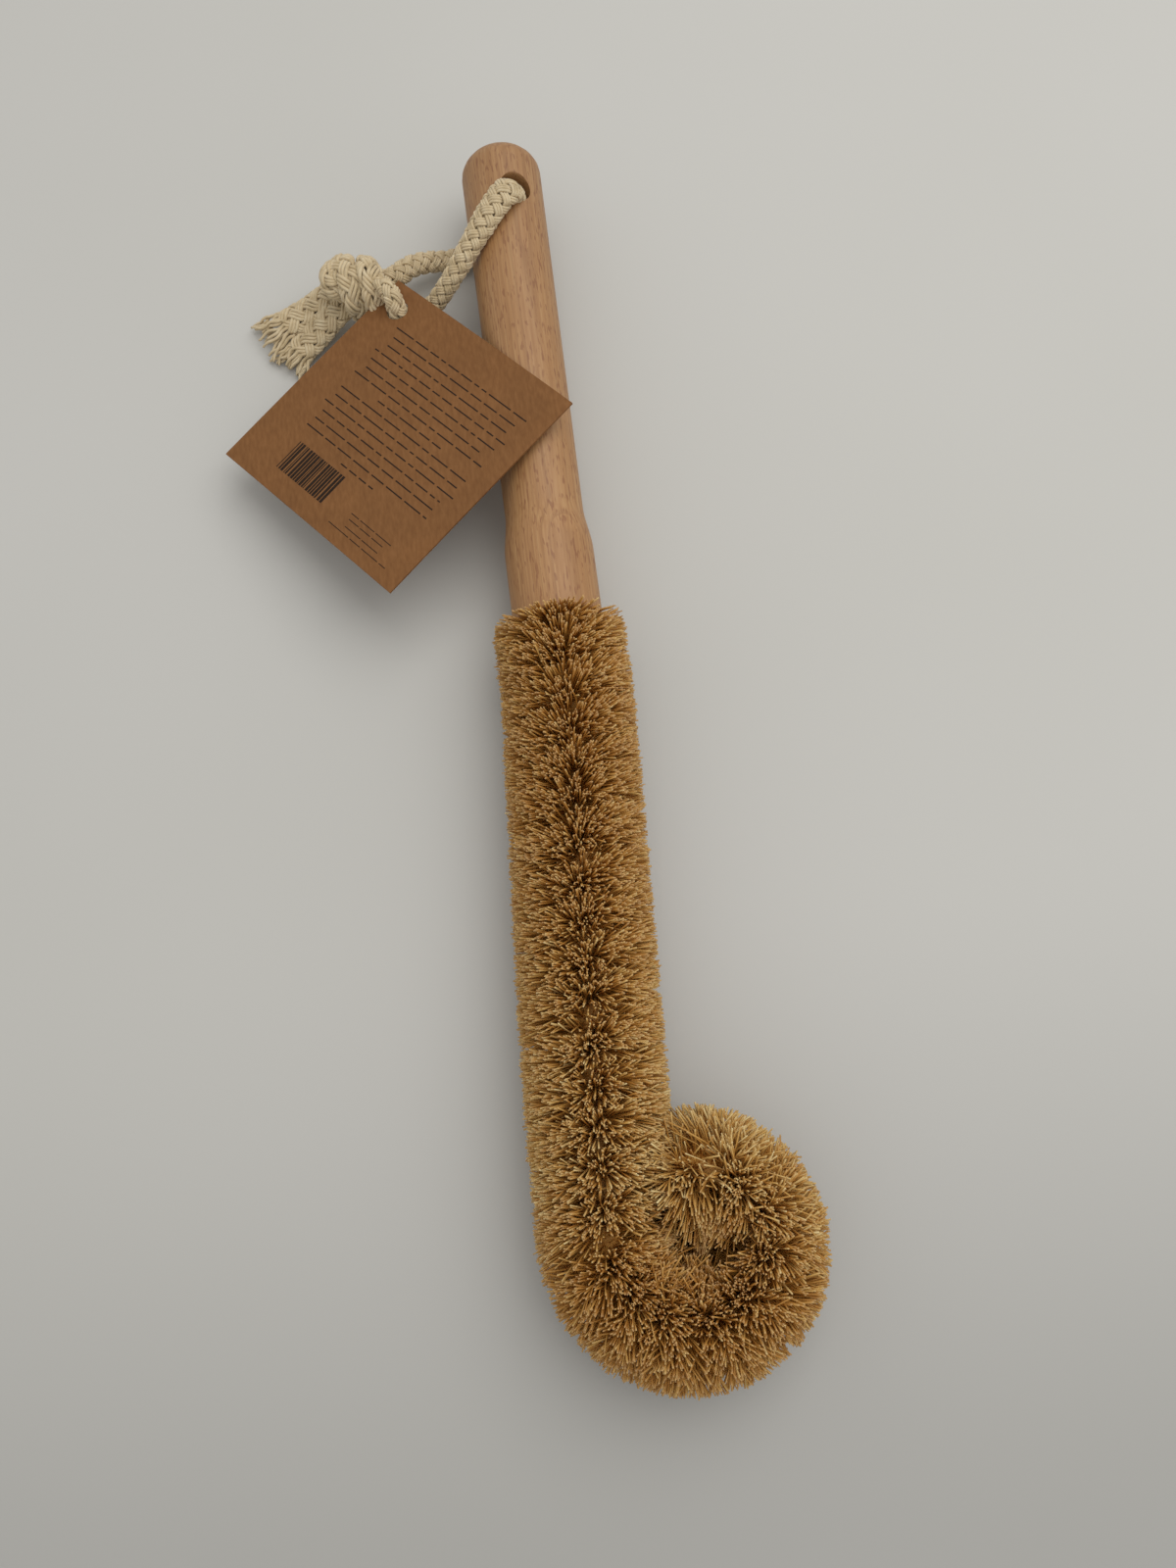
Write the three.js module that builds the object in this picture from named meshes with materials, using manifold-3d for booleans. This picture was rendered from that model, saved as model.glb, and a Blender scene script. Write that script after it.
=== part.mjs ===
// A bottle brush: a turned beech handle, a stem of two twisted wires that ends in a curl, coir bristles
// held in the twist, and a knotted cotton cord through the handle that carries a card tag.
// Millimetres, +Z up. The handle runs along +Y and the brush lies on its bristles on the plane z = 0.

import * as THREE from 'three';
import { mergeVertices } from 'three/addons/utils/BufferGeometryUtils.js';
import Module from 'manifold-3d';

const wasm = await Module();
wasm.setup();

const { degToRad, lerp, clamp } = THREE.MathUtils;

// Clearances
const FIT_GAP = 0.3;
const STRAND_GAP = 0.2;

// Turned handle, from the collar's end face to the tail
const HANDLE_LENGTH = 158.4;
const COLLAR_RADIUS = 12.8;
const COLLAR_LENGTH = 21;
const COLLAR_EDGE = 1.2;
const SHOULDER_LENGTH = 13;
const WAIST_RADIUS = 11.4;
const TAIL_RADIUS = 12.35;
const TAIL_DOME = 8.5;
const HANDLE_SIDES = 32;
const CURVE_STEPS = 6;

// Braided hanging cord, and the cross hole that it runs through
const CORD_DIAMETER = 6;
const CORD_SIDES = 10;
const HOLE_PLAY = 3.6;
const HOLE_FROM_TAIL = 21.4;
const HOLE_ROLL = degToRad(18);
const HOLE_EASING = 0.6;
const HOLE_SIDES = 20;

// Twisted wire stem
const WIRE_DIAMETER = 2.2;
const TWIST_PITCH = 16;
const SOCKET_DEPTH = 38;
const ADHESIVE_WALL = 0.7;
const WIRE_TIP = 1.5;
const STEM_LEAD = 18;
const STEM_BEND = degToRad(3.1);
const BEND_LENGTH = 8;
const SHANK_LENGTH = 137.8;
const CURL_START_RADIUS = 23.4;
const CURL_END_RADIUS = 15.5;
const CURL_SWEEP = degToRad(290);
const STEPS_PER_TWIST = 8;
const WIRE_SIDES = 5;

// Coir bristles
const BRISTLE_RADIUS = 18.8;
const CURL_TIP_BRISTLE_RADIUS = 16.5;
const ROOT_RADIUS = 6;
const STRAND_RADIUS = 1.2;
const STRAND_TIP_RADIUS = 1;
const STRAND_COUNT = 400;
const SHORTEST_STRAND = 3;
const COLLAR_ROWS = 26;
const COLLAR_LEAN = degToRad(22);
const FLAT_DEPTH = 0.5;
const ROOT_SIDES = 6;
const ROOT_STEP = 3.5;
const SHANK_ROOT_STEP = 15;

// Knot that ties the cord's ends
const KNOT_CENTRE = new THREE.Vector3(-50.2, 121.3, -6);
const KNOT_HEADING = degToRad(186);
const KNOT_RADIUS = 4.8;
const KNOT_WAVE = 1.2;
const KNOT_HALF_LENGTH = 5;
const KNOT_CORE_RADIUS = 7;
const KNOT_CORE_HALF_LENGTH = 9;
const KNOT_TUCK = 0.3;
const KNOT_STEPS = 52;

// Card tag
const TAG_SIDE = 75;
const TAG_THICKNESS = 0.6;
const TAG_HOLE_PLAY = 3;
const TAG_HOLE_INSET = 8;
const TAG_YAW = degToRad(-50.7);
const TAG_PITCH = degToRad(-10.8);
const TAG_ROLL = degToRad(5);
const TAG_RAISE_STEP = 0.05;

// Heights and places that follow from the sizes above
const AXIS_HEIGHT = BRISTLE_RADIUS - FLAT_DEPTH;
const SHOULDER_END = COLLAR_LENGTH + SHOULDER_LENGTH;
const DOME_START = HANDLE_LENGTH - TAIL_DOME;
const HOLE_Y = HANDLE_LENGTH - HOLE_FROM_TAIL;
const HOLE_RADIUS = (CORD_DIAMETER + HOLE_PLAY) / 2;
const TAG_HOLE_RADIUS = (CORD_DIAMETER + TAG_HOLE_PLAY) / 2;
const TWIST_RADIUS = (WIRE_DIAMETER + FIT_GAP) / 2;
const STEM_RADIUS = TWIST_RADIUS + WIRE_DIAMETER / 2;
const ADHESIVE_BORE = STEM_RADIUS + FIT_GAP;
const ADHESIVE_RADIUS = ADHESIVE_BORE + ADHESIVE_WALL;
const SOCKET_RADIUS = ADHESIVE_RADIUS + FIT_GAP;
const CURL_LENGTH = (2 * CURL_SWEEP) / (1 / CURL_START_RADIUS + 1 / CURL_END_RADIUS);
const CURL_START = STEM_LEAD + BEND_LENGTH + SHANK_LENGTH;
const STEM_LENGTH = CURL_START + CURL_LENGTH;

const UP = new THREE.Vector3(0, 0, 1);

// Finishes
function finish(color, roughness, metalness = 0) {
  return new THREE.MeshStandardMaterial({ color, roughness, metalness });
}
const beech = finish(0xc49a74, 0.6);
const coir = finish(0xb98f52, 0.9);
const galvanised = finish(0x8d8f90, 0.45, 1);
const adhesive = finish(0xd9c9a3, 0.5);
const cotton = finish(0xd8cfb4, 0.95);
const kraft = finish(0x8f6540, 0.9);

// Closed solids to cut and join, and back to geometry
function solid(geometry) {
  const bare = geometry.clone();
  bare.deleteAttribute('normal');
  bare.deleteAttribute('uv');
  const merged = mergeVertices(bare, 1e-4);
  return new wasm.Manifold(new wasm.Mesh({
    numProp: 3,
    vertProperties: new Float32Array(merged.attributes.position.array),
    triVerts: new Uint32Array(merged.index.array),
  }));
}

function surface(manifold) {
  const mesh = manifold.getMesh();
  const geometry = new THREE.BufferGeometry();
  geometry.setAttribute('position', new THREE.BufferAttribute(new Float32Array(mesh.vertProperties), 3));
  geometry.setIndex(new THREE.BufferAttribute(new Uint32Array(mesh.triVerts), 1));
  return geometry;
}

function circle(radius, sides, start = 0) {
  const ring = [];
  for (let i = 0; i < sides; i += 1) {
    const a = start + (2 * Math.PI * i) / sides;
    ring.push(new THREE.Vector2(radius * Math.cos(a), radius * Math.sin(a)));
  }
  return ring;
}

function sweep(outline, path, steps, bore = null) {
  const shape = new THREE.Shape(outline);
  if (bore) {
    shape.holes.push(new THREE.Path(bore));
  }
  path.arcLengthDivisions = 8 * steps;
  return new THREE.ExtrudeGeometry(shape, { extrudePath: path, steps, bevelEnabled: false });
}

// The stem's middle line: straight out of the collar, a slight bend, the shank, and a curl that tightens
// to its tip. s is the distance along it from the collar's end face, negative inside the handle.
function stemHeading(s) {
  const bent = clamp((s - STEM_LEAD) / BEND_LENGTH, 0, 1) * STEM_BEND;
  const along = Math.max(s - CURL_START, 0);
  const tightening = (1 / CURL_END_RADIUS - 1 / CURL_START_RADIUS) / CURL_LENGTH;
  const curled = along / CURL_START_RADIUS + (tightening * along * along) / 2;
  return -Math.PI / 2 - bent + curled;
}

const STEM_STEP = 0.5;
const stemLine = [new THREE.Vector3(0, SOCKET_DEPTH, 0)];
for (let s = -SOCKET_DEPTH; s < STEM_LENGTH + STEM_STEP; s += STEM_STEP) {
  const a = stemHeading(s + STEM_STEP / 2);
  const last = stemLine[stemLine.length - 1];
  stemLine.push(last.clone().add(new THREE.Vector3(STEM_STEP * Math.cos(a), STEM_STEP * Math.sin(a), 0)));
}

function stemPoint(s) {
  const place = clamp((s + SOCKET_DEPTH) / STEM_STEP, 0, stemLine.length - 1.001);
  const i = Math.floor(place);
  return stemLine[i].clone().lerp(stemLine[i + 1], place - i);
}

function stemSide(s) {
  const a = stemHeading(s);
  return new THREE.Vector3(-Math.sin(a), Math.cos(a), 0);
}

function stemAlong(s) {
  const a = stemHeading(s);
  return new THREE.Vector3(Math.cos(a), Math.sin(a), 0);
}

class StemStretch extends THREE.Curve {
  constructor(from, to, offset = () => new THREE.Vector3()) {
    super();
    this.from = from;
    this.to = to;
    this.offset = offset;
  }

  getPoint(t) {
    const s = lerp(this.from, this.to, t);
    return stemPoint(s).add(this.offset(s));
  }
}

function radial(s, angle) {
  return stemSide(s).multiplyScalar(Math.cos(angle)).addScaledVector(UP, Math.sin(angle));
}

// Handle: a turned profile with the cord's hole across it and the stem's blind socket in its collar
function handleProfile() {
  const profile = new THREE.Path();
  const third = SHOULDER_LENGTH / 3;
  profile.moveTo(0, 0);
  profile.lineTo(COLLAR_RADIUS - COLLAR_EDGE, 0);
  profile.quadraticCurveTo(COLLAR_RADIUS, 0, COLLAR_RADIUS, COLLAR_EDGE);
  profile.lineTo(COLLAR_RADIUS, COLLAR_LENGTH);
  profile.bezierCurveTo(
    COLLAR_RADIUS, COLLAR_LENGTH + third, WAIST_RADIUS, SHOULDER_END - third, WAIST_RADIUS, SHOULDER_END,
  );
  profile.lineTo(TAIL_RADIUS, DOME_START);
  profile.absellipse(0, DOME_START, TAIL_RADIUS, TAIL_DOME, 0, Math.PI / 2, false);
  const points = profile.getPoints(CURVE_STEPS);
  points[points.length - 1].x = 0;
  return points;
}

function gripRadius(y) {
  return lerp(WAIST_RADIUS, TAIL_RADIUS, clamp((y - SHOULDER_END) / (DOME_START - SHOULDER_END), 0, 1));
}

function turnedPlug(radiusFrom, radiusTo, from, to, sides) {
  const rod = new THREE.CylinderGeometry(radiusTo, radiusFrom, to - from, sides);
  return rod.translate(0, (from + to) / 2, 0);
}

function makeHandle() {
  const mouth = gripRadius(HOLE_Y);
  const wide = HOLE_RADIUS + 2 * HOLE_EASING;
  const across = new THREE.Matrix4().makeTranslation(0, HOLE_Y, 0);
  across.multiply(new THREE.Matrix4().makeRotationY(HOLE_ROLL));
  across.multiply(new THREE.Matrix4().makeRotationX(Math.PI / 2));
  const easeFrom = mouth - HOLE_EASING;
  const easeTo = mouth + HOLE_EASING;
  const drill = turnedPlug(HOLE_RADIUS, HOLE_RADIUS, -2 * mouth, 2 * mouth, HOLE_SIDES);
  const upper = turnedPlug(HOLE_RADIUS, wide, easeFrom, easeTo, HOLE_SIDES);
  const lower = turnedPlug(wide, HOLE_RADIUS, -easeTo, -easeFrom, HOLE_SIDES);
  let turned = solid(new THREE.LatheGeometry(handleProfile(), HANDLE_SIDES));
  for (const cut of [drill, upper, lower]) {
    turned = turned.subtract(solid(cut.applyMatrix4(across)));
  }
  const socket = turnedPlug(SOCKET_RADIUS, SOCKET_RADIUS, -COLLAR_EDGE, SOCKET_DEPTH + FIT_GAP, HOLE_SIDES);
  return surface(turned.subtract(solid(socket)));
}

function makeAdhesive() {
  const ring = new THREE.Shape(circle(ADHESIVE_RADIUS, HOLE_SIDES));
  ring.holes.push(new THREE.Path(circle(ADHESIVE_BORE, HOLE_SIDES)));
  const sleeve = new THREE.ExtrudeGeometry(ring, { depth: SOCKET_DEPTH - FIT_GAP, bevelEnabled: false });
  return sleeve.rotateX(-Math.PI / 2).translate(0, FIT_GAP, 0);
}

function makeWire(phase) {
  const twist = (s) => radial(s, phase + (2 * Math.PI * s) / TWIST_PITCH).multiplyScalar(TWIST_RADIUS);
  const path = new StemStretch(-SOCKET_DEPTH + FIT_GAP, STEM_LENGTH, twist);
  const steps = Math.round((STEPS_PER_TWIST * (STEM_LENGTH + SOCKET_DEPTH)) / TWIST_PITCH);
  return sweep(circle(WIRE_DIAMETER / 2, WIRE_SIDES), path, steps);
}

// Bristles: strands set round the stem by the golden angle, each cut back until it is clear of the ones
// before it and of the stem's other turns, as the fibres of a curled brush are pressed short on the inside.
const BRISTLE_START = FIT_GAP;
const BRISTLE_END = STEM_LENGTH - WIRE_TIP;
const GOLDEN_ANGLE = Math.PI * (3 - Math.sqrt(5));
const TUFT_ENDS = [BRISTLE_START, CURL_START / 2, CURL_START, CURL_START + CURL_LENGTH / 2, BRISTLE_END];

function bristleReach(s) {
  return lerp(BRISTLE_RADIUS, CURL_TIP_BRISTLE_RADIUS, clamp((s - CURL_START) / CURL_LENGTH, 0, 1));
}

function segmentGap(p, q, a, b) {
  const u = q.clone().sub(p);
  const v = b.clone().sub(a);
  const w = p.clone().sub(a);
  const uu = u.dot(u);
  const uv = u.dot(v);
  const vv = v.dot(v);
  const uw = u.dot(w);
  const vw = v.dot(w);
  const spread = uu * vv - uv * uv;
  let s = spread > 1e-9 ? clamp((uv * vw - vv * uw) / spread, 0, 1) : 0;
  const t = clamp((uv * s + vw) / vv, 0, 1);
  s = clamp((uv * t - uw) / uu, 0, 1);
  return p.clone().addScaledVector(u, s).distanceTo(a.clone().addScaledVector(v, t));
}

function clearOfStem(strand) {
  const reach = ROOT_RADIUS + STRAND_RADIUS + STRAND_GAP;
  const apart = 3 * ROOT_RADIUS;
  for (let s = BRISTLE_START; s < BRISTLE_END; s += ROOT_STEP) {
    const gap = segmentGap(strand.root, strand.tip, stemPoint(s), stemPoint(s + ROOT_STEP));
    if (Math.abs(s - strand.s) > apart && gap < reach) {
      return false;
    }
  }
  return true;
}

function clearOfStrands(strand, others) {
  const reach = 2 * STRAND_RADIUS + STRAND_GAP;
  return others.every((other) => segmentGap(strand.root, strand.tip, other.root, other.tip) > reach);
}

function insideTuft(s) {
  const margin = STRAND_RADIUS + STRAND_GAP + FIT_GAP;
  return TUFT_ENDS.every((end) => Math.abs(s - end) > margin);
}

function makeStrands() {
  const strands = [];
  for (let i = 0; i < STRAND_COUNT; i += 1) {
    const s = lerp(BRISTLE_START, BRISTLE_END, i / (STRAND_COUNT - 1));
    if (!insideTuft(s)) {
      continue;
    }
    const lean = COLLAR_LEAN * clamp(1 - s / COLLAR_ROWS, 0, 1) * clamp(s / STEM_LEAD, 0, 1);
    const way = radial(s, i * GOLDEN_ANGLE).multiplyScalar(Math.cos(lean));
    way.addScaledVector(stemAlong(s), -Math.sin(lean));
    const root = stemPoint(s).addScaledVector(way, ROOT_RADIUS - STRAND_RADIUS);
    for (let length = bristleReach(s) - ROOT_RADIUS; length > SHORTEST_STRAND; length -= STRAND_RADIUS) {
      const tip = stemPoint(s).addScaledVector(way, ROOT_RADIUS + length);
      const strand = { s, way, root, tip };
      if (clearOfStem(strand) && clearOfStrands(strand, strands)) {
        strands.push(strand);
        break;
      }
    }
  }
  return strands;
}

// A strand is a three-sided frustum, from its root inside the packed fibres to its trimmed tip
function strandSolid({ way, root, tip }) {
  const length = root.distanceTo(tip);
  const corners = [];
  for (const [radius, height] of [[STRAND_RADIUS, 0], [STRAND_TIP_RADIUS, length]]) {
    for (const { x, y } of circle(radius, 3)) {
      corners.push(x, y, height);
    }
  }
  const strand = new THREE.BufferGeometry();
  strand.setAttribute('position', new THREE.Float32BufferAttribute(corners, 3));
  strand.setIndex([0, 2, 1, 3, 4, 5, 0, 1, 4, 0, 4, 3, 1, 2, 5, 1, 5, 4, 2, 0, 3, 2, 3, 5]);
  const turn = new THREE.Quaternion().setFromUnitVectors(UP, way);
  return solid(strand.applyQuaternion(turn).translate(root.x, root.y, root.z));
}

function tableCut() {
  const reach = 2 * STEM_LENGTH;
  const below = new THREE.BoxGeometry(reach, reach, reach);
  return solid(below.translate(0, 0, -AXIS_HEIGHT - reach / 2));
}

function makeBristles(from, to, strands) {
  const bore = (STEM_RADIUS + FIT_GAP) / Math.cos(Math.PI / ROOT_SIDES);
  const steps = Math.ceil((to - from) / (from < CURL_START ? SHANK_ROOT_STEP : ROOT_STEP));
  const path = new StemStretch(from, to);
  let tuft = solid(sweep(circle(ROOT_RADIUS, ROOT_SIDES), path, steps, circle(bore, ROOT_SIDES)));
  for (const strand of strands) {
    if (strand.s > from && strand.s < to) {
      tuft = tuft.add(strandSolid(strand));
    }
  }
  return surface(tuft.subtract(tableCut()));
}

// Hanging cord: one route from the knot under the handle, up through the hole, down to the tag's hole and
// back to the knot. Points are in the handle's frame, with z from the handle's axis.
function route(places) {
  return places.map((place) => new THREE.Vector3(...place));
}
const FROM_KNOT = route([
  [-44, 121.8, -6], [-37.7, 123.8, -6.8], [-32, 128.3, -8.2], [-26.5, 130.9, -10.2], [-20.5, 132.6, -12.8],
  [-12.5, 135, -14.4],
]);
const THROUGH_HOLE = route([
  [-7.4, 136.6, -13.9], [-4.2, HOLE_Y, -11.2], [0, HOLE_Y, 0], [3, 136.4, 11], [1.6, 133.9, 15.6],
]);
const TO_TAG = route([
  [-3.8, 127.6, 15.8], [-10.4, 120.4, 12.4], [-17.2, 114.2, 6], [-21.4, 111.6, 1.2], [-25.6, 109.2, -2.4],
  [-31, 106, -3.2],
]);
const TAG_ON_CORD = new THREE.Vector3(-36.2, 104.7, 2.8);
const TO_KNOT = route([[-39.6, 106.2, 7.7], [-42.7, 110, 6.2], [-44.8, 114.4, 1.2], [-47, 118.6, -4]]);
const TAIL_1 = route([
  [-53, 123.4, -6.6], [-59.5, 122.2, -9.4], [-66, 120.6, -12.2], [-72.5, 118.4, -13.2], [-80, 115.4, -13.4],
]);
const TAIL_2 = route([
  [-51.5, 117, -6.6], [-57.2, 114.4, -9.6], [-62.2, 112.2, -12.8], [-67.6, 108, -14.4],
  [-73.6, 101.2, -14.9],
]);
const STEP_PER_CORD = 0.8;

function cordAlong(points) {
  const path = new THREE.CatmullRomCurve3(points, false, 'centripetal');
  const steps = Math.ceil(path.getLength() / (STEP_PER_CORD * CORD_DIAMETER));
  return sweep(circle(CORD_DIAMETER / 2, CORD_SIDES), path, steps);
}

// The knot: a doubled overhand drawn tight, as a wrap that winds round a core, its ends tucked in
class KnotWrap extends THREE.Curve {
  getPoint(t) {
    const a = 2 * Math.PI * t;
    const tucked = clamp(Math.sin(Math.PI * t) / KNOT_TUCK, KNOT_TUCK, 1);
    const out = tucked * (KNOT_RADIUS + KNOT_WAVE * Math.cos(3 * a));
    const along = KNOT_HALF_LENGTH * Math.sin(3 * a);
    return new THREE.Vector3(along, out * Math.cos(2 * a), out * Math.sin(2 * a));
  }
}

function knotSolid(extra) {
  const wrap = sweep(circle(CORD_DIAMETER / 2 + extra, CORD_SIDES - 2), new KnotWrap(), KNOT_STEPS);
  const core = new THREE.SphereGeometry(1, CORD_SIDES, CORD_SIDES);
  core.scale(KNOT_CORE_HALF_LENGTH + extra, KNOT_CORE_RADIUS + extra, KNOT_CORE_RADIUS + extra);
  const place = new THREE.Matrix4().makeTranslation(KNOT_CENTRE);
  place.multiply(new THREE.Matrix4().makeRotationZ(KNOT_HEADING));
  return solid(wrap.applyMatrix4(place)).add(solid(core.applyMatrix4(place)));
}

function meetingKnot(geometry) {
  return surface(solid(geometry).subtract(knotSolid(FIT_GAP)));
}

// Tag: a square card with a punched corner hole, leaning on the handle, with the cord through its hole
const tagTurn = new THREE.Euler(TAG_ROLL, TAG_PITCH, TAG_YAW, 'ZYX');
const tagNormal = new THREE.Vector3(0, 0, 1).applyEuler(tagTurn);
const tagHole = new THREE.Vector3(TAG_HOLE_INSET, -TAG_HOLE_INSET, 0).applyEuler(tagTurn);

function clearOfGrip(corner) {
  const gap = FIT_GAP + TAG_THICKNESS / 2;
  for (let across = 0; across <= TAG_SIDE; across += 1) {
    for (let down = 0; down <= TAG_SIDE; down += 1) {
      const spot = new THREE.Vector3(across, -down, 0).applyEuler(tagTurn).add(corner);
      if (Math.hypot(spot.x, spot.z) < gripRadius(spot.y) + gap) {
        return false;
      }
    }
  }
  return true;
}

// The card is raised along its normal until it clears the grip that it leans on
function tagCorner() {
  const corner = TAG_ON_CORD.clone().sub(tagHole);
  while (!clearOfGrip(corner)) {
    corner.addScaledVector(tagNormal, TAG_RAISE_STEP);
  }
  return corner;
}

function makeTag() {
  const card = new THREE.Shape([
    new THREE.Vector2(0, 0), new THREE.Vector2(0, -TAG_SIDE),
    new THREE.Vector2(TAG_SIDE, -TAG_SIDE), new THREE.Vector2(TAG_SIDE, 0),
  ]);
  const hole = circle(TAG_HOLE_RADIUS, HOLE_SIDES);
  const inset = new THREE.Vector2(TAG_HOLE_INSET, -TAG_HOLE_INSET);
  card.holes.push(new THREE.Path(hole.map((point) => point.add(inset))));
  const sheet = new THREE.ExtrudeGeometry(card, { depth: TAG_THICKNESS, bevelEnabled: false });
  return sheet.translate(0, 0, -TAG_THICKNESS / 2);
}

// Assembly
function piece(name, geometry, material) {
  const mesh = new THREE.Mesh(geometry, material);
  mesh.name = name;
  return mesh;
}

const brush = new THREE.Group();
brush.add(piece('handle', makeHandle(), beech));
brush.add(piece('stem_adhesive', makeAdhesive(), adhesive));
brush.add(piece('stem_wire_1', makeWire(0), galvanised));
brush.add(piece('stem_wire_2', makeWire(Math.PI), galvanised));

const strands = makeStrands();
const tufts = ['bristles_shank_upper', 'bristles_shank_lower', 'bristles_bend', 'bristles_curl'];
tufts.forEach((name, i) => {
  const from = i === 0 ? TUFT_ENDS[0] : TUFT_ENDS[i] + FIT_GAP;
  brush.add(piece(name, makeBristles(from, TUFT_ENDS[i + 1], strands), coir));
});

const hanger = new THREE.Group();
const loop = [...FROM_KNOT, ...THROUGH_HOLE, ...TO_TAG, TAG_ON_CORD, ...TO_KNOT];
hanger.add(piece('hang_cord', meetingKnot(cordAlong(loop)), cotton));
hanger.add(piece('hang_cord_knot', surface(knotSolid(0)), cotton));
hanger.add(piece('hang_cord_tail_1', meetingKnot(cordAlong(TAIL_1)), cotton));
hanger.add(piece('hang_cord_tail_2', meetingKnot(cordAlong(TAIL_2)), cotton));

const tag = piece('tag', makeTag(), kraft);
tag.rotation.copy(tagTurn);
tag.position.copy(tagCorner());
hanger.add(tag);

// The origin is under the middle of the brush itself, on the surface that it lies on
const middle = new THREE.Box3().setFromObject(brush).getCenter(new THREE.Vector3());
const bottleBrush = new THREE.Group();
bottleBrush.add(brush, hanger);
bottleBrush.position.set(-middle.x, -middle.y, AXIS_HEIGHT);
bottleBrush.updateMatrixWorld(true);

console.log(`strands ${strands.length}, stem ${STEM_LENGTH.toFixed(1)} mm from the collar`);

export default bottleBrush;
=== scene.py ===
# %% [markdown]
# # A coir bottle brush
# A turned beech handle holds a stem of two twisted wires. Coconut fibres are pinched in the twist all
# along it, and the stem curls round at its tip. A cotton cord with a card tag hangs in a cross hole at
# the handle's tail. The solid model is loaded first. It fixes the sizes and places, and this script gives
# it its looks.

# %% Load the frame
import math

import bpy
import numpy as np
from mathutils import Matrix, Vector


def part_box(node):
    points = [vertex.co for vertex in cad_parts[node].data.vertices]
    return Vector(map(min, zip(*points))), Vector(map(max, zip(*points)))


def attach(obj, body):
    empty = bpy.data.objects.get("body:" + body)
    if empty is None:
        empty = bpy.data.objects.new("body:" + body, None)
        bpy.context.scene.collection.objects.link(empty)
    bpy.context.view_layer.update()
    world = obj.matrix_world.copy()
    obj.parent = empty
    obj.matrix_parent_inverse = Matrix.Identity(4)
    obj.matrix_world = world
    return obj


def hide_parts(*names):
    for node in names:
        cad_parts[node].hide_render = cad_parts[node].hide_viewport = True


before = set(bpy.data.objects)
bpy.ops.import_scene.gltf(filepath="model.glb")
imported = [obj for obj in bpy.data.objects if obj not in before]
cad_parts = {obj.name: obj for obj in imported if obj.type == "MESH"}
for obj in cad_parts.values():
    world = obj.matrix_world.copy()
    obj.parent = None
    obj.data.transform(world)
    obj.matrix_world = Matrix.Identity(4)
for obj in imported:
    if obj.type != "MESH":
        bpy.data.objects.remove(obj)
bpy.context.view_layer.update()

MM = 0.001
handle_low, handle_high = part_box("handle")
collar_face = Vector((
    (handle_low.x + handle_high.x) / 2,
    handle_low.y,
    (handle_low.z + handle_high.z) / 2,
))
FLOOR = -collar_face.z / MM
print("collar face at", tuple(round(c / MM, 1) for c in collar_face), "mm")

# %% [markdown]
# ## One way to write places
# The pieces below are written in millimetres from the middle of the collar's face: x to the side, y along
# the handle towards its tail, z up from the handle's axis. Blender works in metres from the object's own
# origin, so one short function turns the first into the second, for one point or for thousands at once.


# %% Places in millimetres
def place(points):
    return np.asarray(points, float) * MM + np.array(collar_face)


# %% [markdown]
# ## Camera
# The brush lies on a table and is seen from above, a little from the brush end. The lens is a phone's
# wide one. Its focal length is as long as the picture is wide, which is 27 mm on a frame 36 mm high.

# %% Camera
CAMERA_PLACE = (-7.3, -125.5)
CAMERA_HEIGHT = 331.6
CAMERA_TILT = math.radians(14.0)
CAMERA_TURN = math.radians(-7.2)
LENS_LENGTH = 27
FRAME_HEIGHT = 36

camera_data = bpy.data.cameras.new("camera")
camera_data.lens = LENS_LENGTH
camera_data.sensor_width = FRAME_HEIGHT
camera = bpy.data.objects.new("camera", camera_data)
camera.location = place((*CAMERA_PLACE, CAMERA_HEIGHT + FLOOR))
camera.rotation_euler = (CAMERA_TILT, 0, CAMERA_TURN)
bpy.context.collection.objects.link(camera)
bpy.context.scene.camera = camera
print("camera", round(camera.location.z / MM), "mm above the table")

# %% [markdown]
# ## Colours and nodes
# Colours are written as the sRGB hex values that a colour picker shows. Shaders count in linear light, so
# one function converts them. Another adds a shader node and sets its properties. It fills the node's
# sockets with a third, which also fills the sockets of the shader itself, each with a value or with
# another node's output.


# %% Colour and node helpers
def linear(hex_colour):
    parts = [int(hex_colour[i:i + 2], 16) / 255 for i in (1, 3, 5)]
    return (*(c / 12.92 if c <= 0.04045 else ((c + 0.055) / 1.055) ** 2.4 for c in parts), 1.0)


def new_material(name):
    material = bpy.data.materials.new(name)
    material.use_nodes = True
    return material, material.node_tree.nodes["Principled BSDF"]


def fill_sockets(owner, node, inputs):
    for name, value in inputs.items():
        if isinstance(value, bpy.types.NodeSocket):
            owner.node_tree.links.new(value, node.inputs[name])
        else:
            node.inputs[name].default_value = value


def add_node(material, kind, inputs=(), stops=(), **settings):
    node = material.node_tree.nodes.new(kind)
    for name, value in settings.items():
        setattr(node, name, value)
    fill_sockets(material, node, dict(inputs))
    for i, (position, colour) in enumerate(stops):
        stop = node.color_ramp.elements[i] if i < 2 else node.color_ramp.elements.new(position)
        stop.position = position
        stop.color = linear(colour)
    return node


def dress(mesh, material):
    mesh.materials.clear()
    mesh.materials.append(material)
    print(mesh.name, "is dressed in", material.name)


# %% [markdown]
# ## Strands
# Cotton plies and coir fibres are the same kind of thing: a thin round strand along a path. There are
# tens of thousands, so the tubes are worked out all together as arrays rather than extruded one by one.
# Each tube is a set of rings joined by quads and closed at both ends. Two UV maps go with it. "OFBake"
# has a place for each strand's colour: its own key where keys are given, or else a strip of the map.
# "yarn" says how far along and how far round a strand a point is, in millimetres and turns.


# %% Tubes round many paths
def unit(vectors):
    return vectors / np.linalg.norm(vectors, axis=-1, keepdims=True)


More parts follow.
